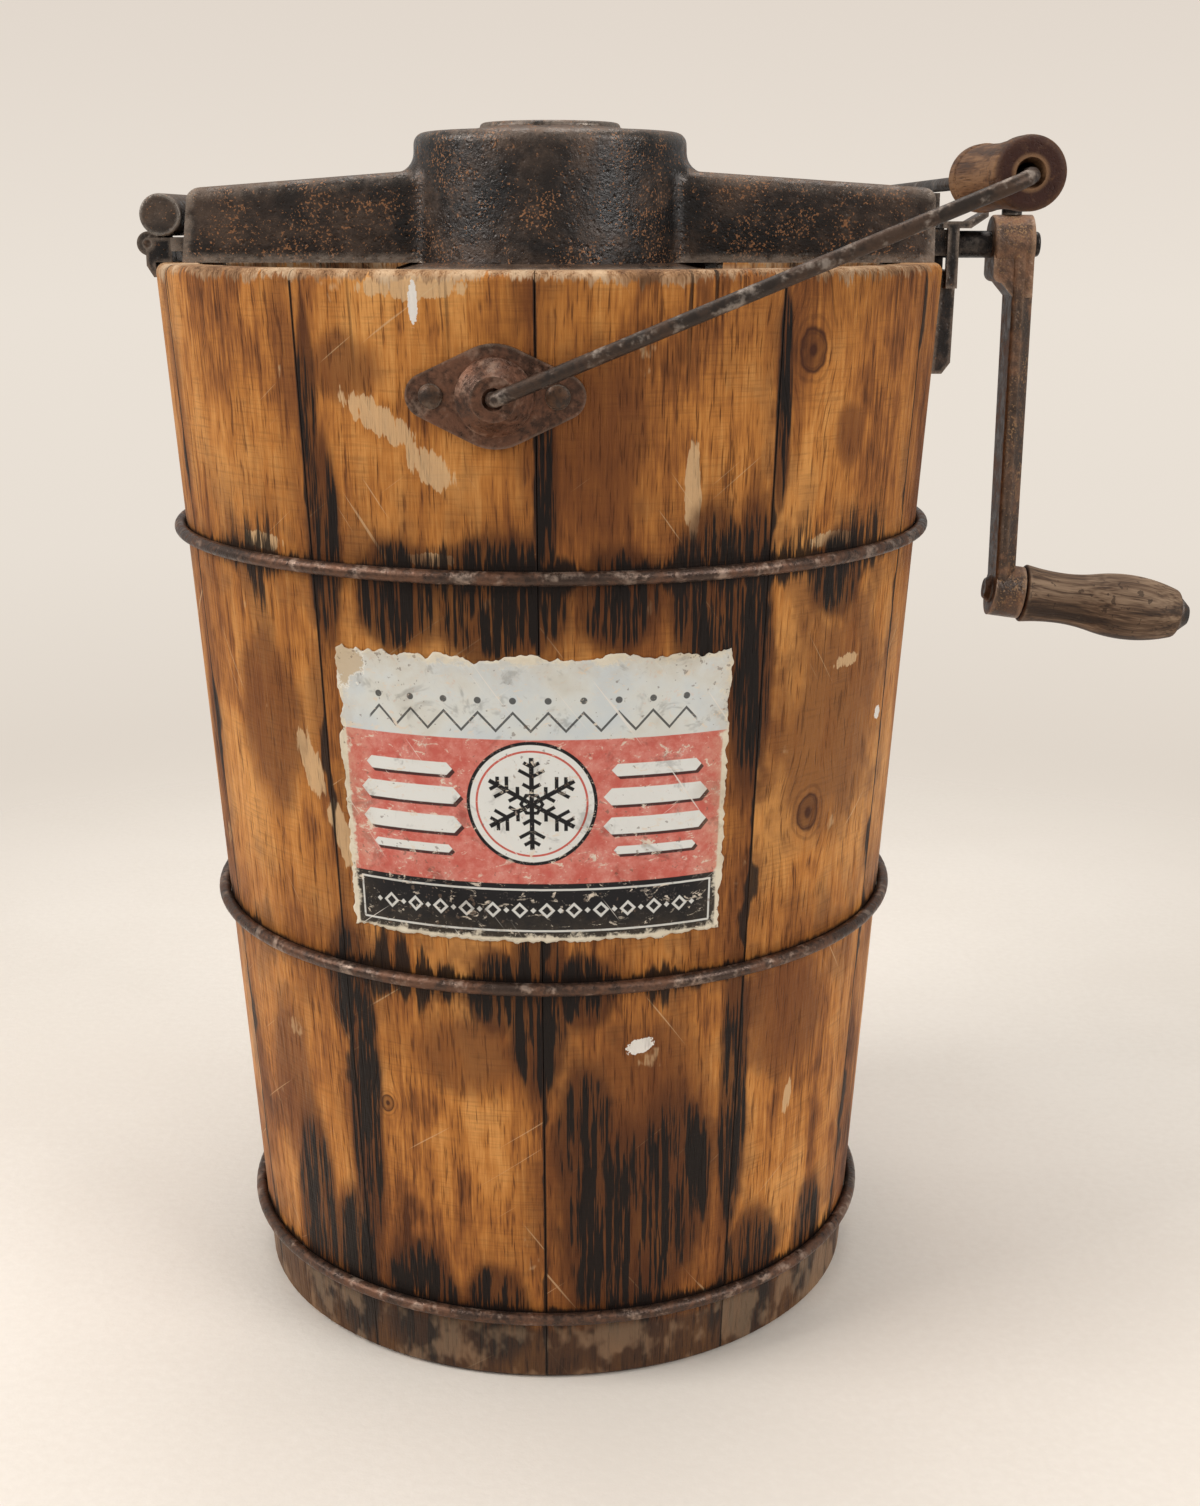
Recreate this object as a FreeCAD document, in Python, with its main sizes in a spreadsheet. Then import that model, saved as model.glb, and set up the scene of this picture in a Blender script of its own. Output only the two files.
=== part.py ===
import FreeCAD, Part
import math
import os
import re
import Sketcher

# Hand crank ice cream freezer: a coopered wooden tub with three wire hoops, a turning can with a
# counter-turning dasher, a cast gear frame with bevel gears across the rim, a crank and a wire bail.
# Millimetres. The origin is on the tub's axis at floor level, +Z is up, the crank is towards +X and
# the label faces -Y.

doc = FreeCAD.newDocument("ice_cream_freezer")
dims = doc.addObject("Spreadsheet::Sheet", "dims")
probe = doc.addObject("App::FeaturePython", "probe")
nodes = []

SIZES = [
    # Tub
    ("tub_height", 384.8), ("tub_rim_radius", 140.0), ("tub_base_radius", 116.0),
    ("stave_count", 11), ("stave_turn", -90.6), ("stave_thickness", 16.0), ("stave_joint", 0.3),
    ("rim_round", 3.0), ("rim_inner_round", 2.0), ("foot_chamfer", 1.5),
    ("croze_depth", 3.0), ("board_low", 15.0), ("board_thickness", 16.0), ("board_play", 0.2),
    ("plank_width", 78.0), ("plank_joint", 0.25),
    ("hoop_wire_radius", 2.2), ("hoop_play", 0.05),
    ("upper_hoop_below_rim", 91.7), ("middle_hoop_drop", 15.8), ("lower_hoop_level", 26.1),
    ("label_drop", 24.5), ("label_span", 98.6), ("label_sweep", 58.0), ("label_thickness", 0.3),
    ("label_turn", -91.8), ("skin_play", 0.12), ("cut_past", 1.0),
    # Ears of the bail
    ("ear_shift", -13.6), ("ear_below_rim", 36.4), ("ear_rivet_spacing", 37.5),
    ("ear_centre_radius", 15.6), ("ear_end_radius", 6.8), ("ear_end_spacing", 41.0), ("ear_thickness", 2.4),
    ("ear_dome_radius", 12.7), ("ear_dome_height", 8.6), ("ear_dome_round", 5.0),
    ("ear_mouth_radius", 3.4), ("ear_mouth_depth", 1.2), ("ear_dome_taper", 1.0),
    ("ear_end_gap", 0.4),
    ("rivet_head_radius", 3.8), ("rivet_head_height", 1.9), ("rivet_shank_radius", 2.0),
    ("rivet_shank_length", 14.0),
    # Bail
    ("bail_wire_radius", 2.3), ("bar_rise", 63.0), ("bar_overhang", 1.17), ("bail_leg_overhang", 13.0),
    ("bail_tip_depth", 5.6), ("bail_pivot_bend", 4.6),
    ("bail_corner_bend", 9.0), ("bail_play", 0.08),
    ("grip_radius", 10.7), ("grip_waist_radius", 9.7), ("grip_length", 76.0),
    ("grip_inset", 49.0), ("grip_bore_radius", 3.14), ("grip_mouth_radius", 4.4), ("grip_mouth_depth", 5.0),
    ("grip_hang", 0.3), ("grip_rise", 0.7),
    ("grip_end_round", 2.2), ("grip_shoulder", 0.4),
    ("grip_bead_length", 9.0), ("grip_groove_radius", 9.2), ("grip_groove_width", 3.0),
    # Gear frame
    ("shaft_above_rim", 6.0), ("frame_left_inset", 11.0), ("frame_left_lean", 3.0),
    ("frame_right_inset", 4.8), ("frame_right_lean", 0.4),
    ("frame_end_height", 25.2), ("frame_root_height", 31.0), ("frame_width", 44.0),
    ("frame_wall", 4.2), ("frame_edge_round", 4.5), ("frame_corner_round", 7.0),
    ("drum_top_above_rim", 44.2), ("drum_top_radius", 48.6), ("drum_base_radius", 50.0),
    ("drum_edge_round", 4.0), ("drum_wall_thickness", 4.0), ("drum_roof", 4.8),
    ("drum_ring_radius", 56.0), ("drum_ring_drop", 18.8), ("ring_slope", 1.5), ("ring_step", 2.0),
    ("cap_radius", 25.0), ("cap_height", 3.4), ("cap_slope", 6.0), ("cap_edge_round", 1.6),
    ("bearing_boss_radius", 9.0), ("bearing_boss_start", 42.6), ("bearing_boss_end", 62.0),
    ("roof_boss_radius", 11.5), ("roof_boss_drop", 7.0), ("frame_end_wall", 6.5),
    ("sill_inset", 3.0), ("joint_overlap", 2.0),
    ("lug_start_side", 8.0), ("lug_thickness", 5.6), ("lug_overhang", 3.4),
    ("lug_low_above_rim", 2.2), ("lug_high_above_rim", 11.2), ("sill_end_inset", 6.6),
    ("sill_low_above_rim", 3.8), ("sill_high_above_rim", 8.5),
    # Gear plate under the drum
    ("plate_thickness", 4.0), ("plate_hole_play", 0.3),
    ("plate_screw_radius", 2.0), ("plate_screw_length", 12.0), ("plate_screw_head_radius", 3.8),
    ("plate_screw_head_height", 2.2),
    # Crank
    ("shaft_radius", 4.75), ("running_play", 0.06), ("shaft_start", 20.6), ("shaft_tip_proud", 3.2),
    ("shaft_tip_radius", 4.4), ("shaft_tip_round", 1.0),
    ("crank_throw", 126.2), ("hub_gap", 2.2), ("hub_length", 14.4),
    ("hub_radius", 10.3), ("arm_setback", 7.1), ("arm_thickness", 8.0),
    ("arm_hub_width", 20.0), ("arm_eye_width", 17.0), ("arm_chamfer", 4.2),
    ("eye_radius", 9.8), ("eye_thickness", 11.4), ("eye_proud", 0.2),
    ("arm_inner_round", 1.6), ("hub_round", 1.2), ("handle_droop", 7.8), ("hub_lobe_drop", 13.3),
    ("hub_lobe_foot", 18.5), ("hub_lobe_round", 3.0), ("hub_lobe_inset", 0.4), ("fit_play", 0.02),
    ("set_screw_radius", 3.6), ("set_screw_height", 2.4), ("set_screw_shank", 2.2),
    # Wooden crank handle and the rivet that it turns on
    ("handle_gap", 0.6), ("handle_length", 60.0), ("handle_start_radius", 11.0),
    ("handle_waist_radius", 9.5), ("handle_waist_at", 15.0), ("handle_belly_radius", 12.3),
    ("handle_belly_at", 40.0), ("handle_end_radius", 8.6), ("handle_end_round", 2.4),
    ("handle_start_curve", 75.8), ("handle_neck_curve", 56.5), ("handle_belly_curve", 56.5),
    ("handle_tail_curve", 56.0), ("handle_start_round", 0.8), ("head_seat_play", 0.3),
    ("pin_radius", 3.0), ("pin_inner_head_radius", 5.2), ("pin_inner_head_height", 2.6),
    ("pin_outer_head_radius", 6.2), ("pin_outer_head_height", 4.2),
    # Bevel gears
    ("gear_module", 2.3333), ("pinion_teeth", 12), ("wheel_teeth", 24),
    ("tooth_face", 9.0), ("tooth_share", 0.40), ("tooth_addendum", 0.80), ("tooth_dedendum", 1.05),
    ("tooth_lean", 20.0), ("tooth_root_sink", 0.35),
    ("pinion_hub_radius", 9.0), ("pinion_hub_end", 42.4), ("pinion_pin_radius", 1.6),
    ("pinion_pin_at", 37.0), ("wheel_web_depth", 20.0), ("wheel_hub_radius", 12.0),
    ("wheel_hub_rise", 11.0), ("wheel_collar_radius", 17.0), ("can_gear_hub_drop", 36.6),
    ("drive_square", 13.0), ("drive_play", 0.2), ("drive_square_height", 10.0),
    ("spigot_radius", 7.0), ("spigot_top", 33.0), ("dasher_hub_top", 25.8),
    # Can
    ("can_radius", 72.0), ("can_wall", 1.2), ("can_low", 44.0), ("can_below_rim", 39.8),
    ("lid_thickness", 1.4), ("lid_skirt_depth", 10.0), ("lid_play", 0.3),
    ("lid_hub_radius", 14.0), ("lid_hub_height", 6.7),
    ("pivot_radius", 4.0), ("pivot_flange_radius", 13.0), ("pivot_flange_thickness", 5.4),
    ("pivot_depth", 5.6), ("step_radius", 12.0), ("step_flange_radius", 21.0),
    ("step_flange_thickness", 3.0), ("step_height", 7.3),
    ("centre_pin_radius", 2.8), ("centre_pin_height", 7.0),
    ("step_screw_radius", 1.8), ("step_screw_head", 3.2), ("step_screw_length", 11.0),
    # Dasher
    ("stem_radius", 5.0), ("stem_play", 0.5), ("stem_low", 46.0), ("stem_square", 7.0),
    ("stem_square_above_rim", 16.6), ("stem_top_above_rim", 31.2),
    ("cage_reach", 61.0), ("cage_bar_width", 11.0), ("cage_bar_thickness", 4.0),
    ("cage_low", 54.0), ("cage_below_rim", 53.8), ("cage_hub_radius", 9.5),
    ("cage_hub_height", 12.0), ("scraper_reach", 69.4), ("scraper_width", 8.0),
    ("scraper_low", 60.0), ("scraper_below_rim", 60.8), ("scraper_pin_radius", 1.6),
    ("scraper_pin_inset", 30.0), ("scraper_gap", 0.1), ("scraper_slope", 3.0),
    ("paddle_length", 44.0), ("paddle_height", 22.0), ("paddle_thickness", 3.0),
    ("paddle_pitch", 32.0), ("paddle_first", 100.0), ("paddle_step", 72.0),
    ("paddle_count", 3), ("paddle_hub_radius", 8.5), ("paddle_hub_height", 16.0),
    # Keeper on the right side of the tub
    ("keeper_play", 0.15), ("channel_head", 5.0), ("cheek_root", 0.6), ("shoulder_height", 6.0),
    ("keeper_foot_below_rim", 39.3), ("keeper_width", 21.0),
    ("keeper_depth", 6.8), ("keeper_web", 3.2), ("keeper_flange", 3.2),
    ("cheek_side", 14.0), ("cheek_thickness", 3.4), ("cheek_inset", 0.2),
    ("cheek_overhang", 4.4), ("bridge_above_rim", 11.6), ("bridge_thickness", 2.4),
    ("bridge_inset", 1.4), ("bridge_overhang", 8.6), ("arch_overhang", 16.6),
    ("arch_rise", 4.0), ("arch_width", 12.0), ("rest_gap", 0.3),
    ("rest_lug_inset", 1.4), ("rest_lug_overhang", 2.3), ("keeper_screw_radius", 2.2),
    ("keeper_screw_head", 4.2), ("keeper_screw_height", 3.4), ("keeper_screw_length", 12.0),
    ("low_screw_below_rim", 31.4), ("high_screw_below_rim", 14.8),
    # Latch on the left side of the tub
    ("latch_overhang", 3.4), ("latch_inset", 5.8), ("latch_block_above_rim", 8.4),
    ("latch_lip_below_rim", 5.2), ("latch_lip_play", 0.3), ("latch_width", 28.0),
    ("latch_pivot_overhang", 2.7), ("latch_pivot_above_rim", 6.4), ("latch_eye_radius", 4.2),
    ("latch_slot", 14.6), ("latch_knuckle", 14.0), ("slot_play", 0.6), ("slot_back", 2.4),
    ("latch_screw_inset", 3.6), ("latch_eye_inset", 2.0), ("latch_pin_radius", 1.8),
    ("barrel_inset", 4.0), ("barrel_above_rim", 16.2), ("barrel_radius", 7.25),
    ("barrel_length", 44.0), ("latch_web", 5.0), ("barrel_round", 0.8),
    ("latch_screw_radius", 1.8), ("latch_screw_length", 12.0),
]

# Levels and reaches that follow from other sizes
FOLLOWING = {
    "upper_hoop_level": "tub_height - upper_hoop_below_rim",
    "ear_level": "tub_height - ear_below_rim",
    "shaft_level": "tub_height + shaft_above_rim",
    "drum_top_level": "tub_height + drum_top_above_rim",
    "drum_inner_radius": "drum_top_radius - drum_wall_thickness",
    "lug_low": "tub_height + lug_low_above_rim",
    "lug_high": "tub_height + lug_high_above_rim",
    "sill_low": "tub_height + sill_low_above_rim",
    "sill_high": "tub_height + sill_high_above_rim",
    "stem_square_from": "tub_height + stem_square_above_rim",
    "stem_high": "tub_height + stem_top_above_rim",
    "can_high": "tub_height - can_below_rim",
    "cage_high": "tub_height - cage_below_rim",
    "scraper_high": "tub_height - scraper_below_rim",
    "keeper_low": "tub_height - keeper_foot_below_rim",
    "bridge_low": "tub_height + bridge_above_rim",
    "keeper_screw_low": "tub_height - low_screw_below_rim",
    "keeper_screw_high": "tub_height - high_screw_below_rim",
    "latch_block_top": "tub_height + latch_block_above_rim",
    "latch_lip_low": "tub_height - latch_lip_below_rim",
    "latch_pivot_level": "tub_height + latch_pivot_above_rim",
    "barrel_level": "tub_height + barrel_above_rim",
    "frame_left_reach": "tub_rim_radius - frame_left_inset",
    "frame_right_reach": "tub_rim_radius - frame_right_inset",
    "lug_reach": "tub_rim_radius + lug_overhang",
    "sill_reach": "tub_rim_radius - sill_end_inset",
    "cheek_inner": "tub_rim_radius - cheek_inset",
    "cheek_outer": "tub_rim_radius + cheek_overhang",
    "bridge_inner": "tub_rim_radius - bridge_inset",
    "bridge_outer": "tub_rim_radius + bridge_overhang",
    "arch_reach": "tub_rim_radius + arch_overhang",
    "rest_lug_low": "tub_rim_radius - rest_lug_inset",
    "rest_lug_high": "tub_rim_radius + rest_lug_overhang",
    "latch_outer": "tub_rim_radius + latch_overhang",
    "latch_inner": "tub_rim_radius - latch_inset",
    "latch_pivot_at": "tub_rim_radius + latch_pivot_overhang",
    "barrel_at": "tub_rim_radius - barrel_inset",
    "bail_leg_side": "tub_rim_radius + bail_leg_overhang",
    "hub_inner_face": "arch_reach + hub_gap",
    "hub_outer_face": "hub_inner_face + hub_length",
    "shaft_end": "hub_outer_face + shaft_tip_proud",
    "arm_inner_face": "hub_inner_face + arm_setback",
    "eye_inner_face": "arm_inner_face - eye_proud",
    "middle_hoop_level": "label_low - middle_hoop_drop",
    "label_high": "upper_hoop_level - label_drop",
    "label_low": "label_high - label_span",
    "grip_shift": "grip_inset - bail_leg_side",
    "bar_run": "tub_rim_radius + bar_overhang - ear_shift",
    "bail_reach": "sqrt(bar_run ^ 2 + bar_rise ^ 2)",
    "bail_rest_angle": "atan(bar_rise / bar_run) / 1 deg",
}

for line, (alias, value) in enumerate(SIZES, start=1):
    dims.set(f"A{line}", alias)
    dims.set(f"B{line}", str(value))
    dims.setAlias(f"B{line}", alias)
doc.recompute()


def formula(text):
    """The formula with following sizes spelled out and each named size pointed at the sheet."""
    def spell(found):
        name = found.group(0)
        return f"({formula(FOLLOWING[name])})" if name in FOLLOWING else "dims." + name
    return re.sub(r"[a-z]+(?:_[a-z0-9]+)+", spell, str(text))


def size(text):
    """The number that a formula of named sizes gives."""
    return float(probe.evalExpression(formula(text)))


def bind(thing, **formulas):
    """Bind properties of a document object to formulas of named sizes."""
    for name, text in formulas.items():
        thing.setExpression(name, formula(text))
    return thing


def place(thing, x="0", y="0", z="0", turn=None):
    """Turn an object, then bind its place."""
    thing.Placement = FreeCAD.Placement(FreeCAD.Vector(), turn or FreeCAD.Rotation())
    for axis, text in (("x", x), ("y", y), ("z", z)):
        thing.setExpression("Placement.Base." + axis, formula(text))
    return thing


def facing(x, y, z):
    """The turn that takes +Z to a direction."""
    return FreeCAD.Rotation(FreeCAD.Vector(0, 0, 1), FreeCAD.Vector(x, y, z))


def add(kind, label, **formulas):
    """A document object with bound sizes."""
    thing = doc.addObject(kind, label)
    thing.Label = label
    return bind(thing, **formulas)


def node(thing, label):
    """Name a finished sub-part."""
    thing.Label = label
    nodes.append(thing)
    return thing


def combine(kind, label, first, *others):
    """A chain of cuts, or one fusion or common of several objects."""
    if kind == "Part::MultiFuse":
        result = add(kind, label)
        result.Shapes = [first, *others]
        return result
    for count, other in enumerate(others):
        result = add(kind, f"{label}_{count}")
        result.Base = first
        result.Tool = other
        first = result
    first.Label = label
    return first


def group(label, members):
    """Several like solids in one sub-part."""
    result = add("Part::Compound", label)
    result.Links = members
    return node(result, label)


def tub_radius(level, offset="0"):
    """Formula for the tub's outer radius at a level, with an offset."""
    taper = "(tub_rim_radius - tub_base_radius) / tub_height"
    return f"(tub_base_radius + {taper} * ({level}) + ({offset}))"


wall_lean = size("tub_rim_radius - tub_base_radius") / size("tub_height")
wall_way = FreeCAD.Vector(1, 0, -wall_lean).normalize()


def plane_of(body, role):
    """One of the body's own origin planes."""
    return next(f for f in body.Origin.OriginFeatures if f.Role == role)


def outline(body, role, points, name="outline", closed=True):
    """A sketch through points given as formula pairs.

    A point with two more entries starts an arc of that radius that bulges to the named side of the
    way along the outline.
    """
    sketch = body.newObject("Sketcher::SketchObject", name)
    sketch.AttachmentSupport = [(plane_of(body, role), "")]
    sketch.MapMode = "FlatFace"
    spots = [FreeCAD.Vector(size(p[0]), size(p[1]), 0) for p in points]
    last = len(points) if closed else len(points) - 1
    ends = []
    for index in range(last):
        here = spots[index]
        there = spots[(index + 1) % len(spots)]
        if len(points[index]) == 2:
            sketch.addGeometry(Part.LineSegment(here, there), False)
            ends.append((1, 2))
            continue
        radius = size(points[index][2])
        chord = there - here
        left = FreeCAD.Vector(-chord.y, chord.x, 0).normalize()
        rise = math.sqrt(radius ** 2 - (chord.Length / 2) ** 2)
        side = -1 if points[index][3] == "left" else 1
        centre = (here + there) * 0.5 + left * (rise * side)
        first, second = (there, here) if side < 0 else (here, there)
        start = math.atan2(first.y - centre.y, first.x - centre.x)
        stop = math.atan2(second.y - centre.y, second.x - centre.x)
        circle = Part.Circle(centre, FreeCAD.Vector(0, 0, 1), radius)
        sketch.addGeometry(Part.ArcOfCircle(circle, start, stop), False)
        ends.append((2, 1) if side < 0 else (1, 2))
        limit = sketch.addConstraint(Sketcher.Constraint("Radius", index, radius))
        sketch.setExpression(f"Constraints[{limit}]", formula(points[index][2]))
    for index in range(last if closed else last - 1):
        after = (index + 1) % last
        sketch.addConstraint(
            Sketcher.Constraint("Coincident", index, ends[index][1], after, ends[after][0]))
    for index, point in enumerate(points):
        edge, spot = (index, ends[index][0]) if index < last else (last - 1, ends[-1][1])
        for kind, text in (("DistanceX", point[0]), ("DistanceY", point[1])):
            limit = sketch.addConstraint(Sketcher.Constraint(kind, edge, spot, size(text)))
            sketch.setExpression(f"Constraints[{limit}]", formula(text))
    return sketch


def ring(body, role, radius, x="0", y="0", name="ring"):
    """A circle in a sketch of its own."""
    sketch = body.newObject("Sketcher::SketchObject", name)
    sketch.AttachmentSupport = [(plane_of(body, role), "")]
    sketch.MapMode = "FlatFace"
    centre = FreeCAD.Vector(size(x), size(y), 0)
    sketch.addGeometry(Part.Circle(centre, FreeCAD.Vector(0, 0, 1), size(radius)), False)
    for constraint, text in (
            (Sketcher.Constraint("Radius", 0, size(radius)), radius),
            (Sketcher.Constraint("DistanceX", 0, 3, centre.x), x),
            (Sketcher.Constraint("DistanceY", 0, 3, centre.y), y)):
        limit = sketch.addConstraint(constraint)
        sketch.setExpression(f"Constraints[{limit}]", formula(text))
    return sketch


def feature(body, kind, name, sketch, **formulas):
    """A feature made from a sketch, which becomes the body's tip."""
    made = body.newObject(kind, name)
    made.Profile = sketch
    sketch.Visibility = False
    return bind(made, **formulas)


def spun(body, points, angle="360", cut=False, name="turned"):
    """Turn an outline of radius and height pairs about the body's Z axis."""
    sketch = outline(body, "XZ_Plane", points, name + "_outline")
    kind = "PartDesign::Groove" if cut else "PartDesign::Revolution"
    made = feature(body, kind, name, sketch, Angle=angle)
    made.ReferenceAxis = (sketch, ["V_Axis"])
    made.Midplane = True
    return made


def slab(body, role, points, width, cut=False, name="slab"):
    """Pad or pocket an outline evenly both ways from its plane."""
    sketch = outline(body, role, points, name + "_outline")
    made = feature(body, "PartDesign::Pocket" if cut else "PartDesign::Pad", name, sketch, Length=width)
    made.Midplane = True
    return made


def soften(body, base, radius, test, name="rounded", kind="PartDesign::Fillet"):
    """Fillet or chamfer the edges of the body's last feature that pass a test."""
    doc.recompute()
    chosen = [f"Edge{count}" for count, edge in enumerate(base.Shape.Edges, start=1) if test(edge)]
    made = body.newObject(kind, name)
    made.Base = (base, chosen)
    bind(made, **{"Radius" if kind.endswith("Fillet") else "Size": radius})
    return made


def rim_edge(radius, level):
    """Test for a round edge about Z with this radius and level."""
    def test(edge):
        curve = edge.Curve
        return (curve.TypeId == "Part::GeomCircle" and abs(curve.Radius - size(radius)) < 0.05
                and abs(curve.Center.z - size(level)) < 0.05)
    return test


def turned(label, points, rounds=()):
    """A body turned from one outline, with rounded edges given as radius, edge radius and level."""
    body = doc.addObject("PartDesign::Body", label)
    last = spun(body, points)
    for count, (radius, edge_radius, level) in enumerate(rounds):
        last = soften(body, last, radius, rim_edge(edge_radius, level), f"round_{count}")
    return body


def headed_pin(name, x, y, z, aim, head, rise, shank, length, flat=False):
    """A domed or flat head on a shank; the head's seat is at the given place."""
    if flat:
        top = add("Part::Cylinder", name + "_head", Radius=head, Height=rise)
    else:
        top = add("Part::Ellipsoid", name + "_head", Radius1=rise, Radius2=head)
        top.Angle1 = 0
    stem = add("Part::Cylinder", name + "_shank", Radius=shank, Height=length)
    place(top, x, y, z, facing(*aim))
    base = [f"({text}) - ({step}) * ({length})" for text, step in zip((x, y, z), aim)]
    place(stem, *base, facing(*aim))
    return combine("Part::MultiFuse", name, top, stem)


# Staves: a tapering wall with a rounded rim and a groove for the bottom boards
stave_outline = [
    (tub_radius("0", "-stave_thickness"), "0"),
    (tub_radius("0", "-foot_chamfer"), "0"),
    (tub_radius("foot_chamfer"), "foot_chamfer"),
    (tub_radius("tub_height"), "tub_height"),
    (tub_radius("tub_height", "-stave_thickness"), "tub_height"),
    (tub_radius("board_low + board_thickness + board_play", "-stave_thickness"),
     "board_low + board_thickness + board_play"),
    (tub_radius("board_low + board_thickness + board_play", "croze_depth - stave_thickness"),
     "board_low + board_thickness + board_play"),
    (tub_radius("board_low - board_play", "croze_depth - stave_thickness"),
     "board_low - board_play"),
    (tub_radius("board_low - board_play", "-stave_thickness"), "board_low - board_play"),
]
stave_total = round(size("stave_count"))
for number in range(stave_total):
    stave = doc.addObject("PartDesign::Body", f"stave_{number + 1:02d}")
    wall = spun(stave, stave_outline, "360 / stave_count - 57.29578 * stave_joint / tub_rim_radius")
    outer = soften(stave, wall, "rim_round", rim_edge("tub_rim_radius", "tub_height"), "rim_outer")
    soften(stave, outer, "rim_inner_round",
           rim_edge("tub_rim_radius - stave_thickness", "tub_height"), "rim_inner")
    centre_angle = size("stave_turn") + (number + 0.5) * 360 / stave_total
    stave.Placement.Rotation = FreeCAD.Rotation(FreeCAD.Vector(0, 0, 1), centre_angle)
    node(stave, stave.Name)

# Bottom boards: three planks of one round head
board_offset = "croze_depth - stave_thickness - board_play"
for name, low, high in (
        ("bottom_board_front", "-tub_rim_radius", "-plank_width / 2 - plank_joint"),
        ("bottom_board_middle", "-plank_width / 2", "plank_width / 2"),
        ("bottom_board_rear", "plank_width / 2 + plank_joint", "tub_rim_radius")):
    disc = add("Part::Cone", name + "_disc", Height="board_thickness",
               Radius1=tub_radius("board_low", board_offset),
               Radius2=tub_radius("board_low", board_offset))
    place(disc, z="board_low")
    strip = add("Part::Box", name + "_strip", Length="2 * tub_rim_radius",
                Width=f"({high}) - ({low})", Height="board_thickness")
    place(strip, "-tub_rim_radius", low, "board_low")
    node(combine("Part::Common", name + "_plank", disc, strip), name)

# Hoops: round wire lying against the staves
taper_secant = "sqrt(1 + ((tub_rim_radius - tub_base_radius) / tub_height) ^ 2)"
for name in ("upper_hoop", "middle_hoop", "lower_hoop"):
    hoop = add("Part::Torus", name, Radius2="hoop_wire_radius",
               Radius1=tub_radius(name + "_level", f"(hoop_wire_radius + hoop_play) * {taper_secant}"))
    node(place(hoop, z=name + "_level"), name)

# Paper label round the front of the tub
label = doc.addObject("PartDesign::Body", "front_label")
spun(label, [
    (tub_radius("label_low", "skin_play"), "label_low"),
    (tub_radius("label_low", "skin_play + label_thickness"), "label_low"),
    (tub_radius("label_high", "skin_play + label_thickness"), "label_high"),
    (tub_radius("label_high", "skin_play"), "label_high"),
], "label_sweep")
label.Placement.Rotation = FreeCAD.Rotation(FreeCAD.Vector(0, 0, 1), size("label_turn"))
node(label, "front_label")

# Ears: a lozenge plate bent round the tub, with a dome that holds the end of the bail
ear_seat = f"sqrt({tub_radius('ear_level')} ^ 2 - ear_shift ^ 2)"
dome_face = f"({ear_seat} + ear_thickness + ear_dome_height)"
slope_cos = "((ear_centre_radius - ear_end_radius) / (ear_end_spacing / 2))"
slope_sin = f"sqrt(1 - {slope_cos} ^ 2)"


def ear_corner(radius, shift, side, up):
    """A point where the ear's straight edge meets one of its round ends."""
    return (f"{side} * ({shift} + {radius} * {slope_cos})", f"{up} * {radius} * {slope_sin}")


lozenge_body = doc.addObject("PartDesign::Body", "ear_lozenge")
ear_end = ("ear_end_radius", "ear_end_spacing / 2")
ear_mid = ("ear_centre_radius", "0")
slab(lozenge_body, "XZ_Plane", [
    (*ear_corner(*ear_end, -1, 1), "ear_end_radius", "right"),
    (*ear_corner(*ear_end, -1, -1),),
    (*ear_corner(*ear_mid, -1, -1), "ear_centre_radius", "right"),
    (*ear_corner(*ear_mid, 1, -1),),
    (*ear_corner(*ear_end, 1, -1), "ear_end_radius", "right"),
    (*ear_corner(*ear_end, 1, 1),),
    (*ear_corner(*ear_mid, 1, 1), "ear_centre_radius", "right"),
    (*ear_corner(*ear_mid, -1, 1),),
], "tub_rim_radius / 2", name="lozenge")
place(lozenge_body, "ear_shift", "-tub_rim_radius", "ear_level")


def cone_about_tub(name, offset):
    """The tub's outer surface as a solid cone, grown by an offset."""
    return add("Part::Cone", name, Height="tub_height",
               Radius1=tub_radius("0", offset), Radius2=tub_radius("tub_height", offset))


ear_skin = combine("Part::Common", "ear_skin", lozenge_body,
                   cone_about_tub("ear_outer_cone", "skin_play + ear_thickness"))
dome = turned("ear_dome", [
    ("0", "-ear_dome_height"),
    ("ear_dome_radius", "-ear_dome_height"),
    ("ear_dome_radius - ear_dome_taper", "ear_thickness"),
    ("ear_dome_radius - ear_dome_round - ear_dome_taper", "ear_dome_height"),
    ("0", "ear_dome_height"),
])
place(dome, "ear_shift", f"-({ear_seat} + ear_thickness)", "ear_level", facing(0, -1, 0))
ear_bore = add("Part::Cylinder", "ear_bore", Radius="bail_wire_radius + bail_play",
               Height="bail_tip_depth + ear_end_gap + cut_past")
place(ear_bore, "ear_shift", f"-({dome_face} - bail_tip_depth - ear_end_gap)", "ear_level", facing(0, -1, 0))
ear_mouth = add("Part::Cone", "ear_mouth", Radius1="bail_wire_radius + bail_play",
                Radius2="ear_mouth_radius", Height="ear_mouth_depth")
place(ear_mouth, "ear_shift", f"-({dome_face} - ear_mouth_depth + 0.01)", "ear_level", facing(0, -1, 0))


def ear_rivet_spot(step, side, offset):
    """Place and outward way of one of an ear's rivets, seated square on the bent plate."""
    across = f"(ear_shift + {step} * ear_rivet_spacing)"
    seat = f"({tub_radius('ear_level', offset)})"
    bearing = f"asin({across} / {tub_radius('ear_level')})"
    angle = math.asin(size(across) / size(tub_radius("ear_level")))
    way = FreeCAD.Vector(math.sin(angle), side * math.cos(angle), -wall_lean).normalize()
    return (f"{seat} * sin({bearing})", f"{side} * {seat} * cos({bearing})", "ear_level"), way


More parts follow.
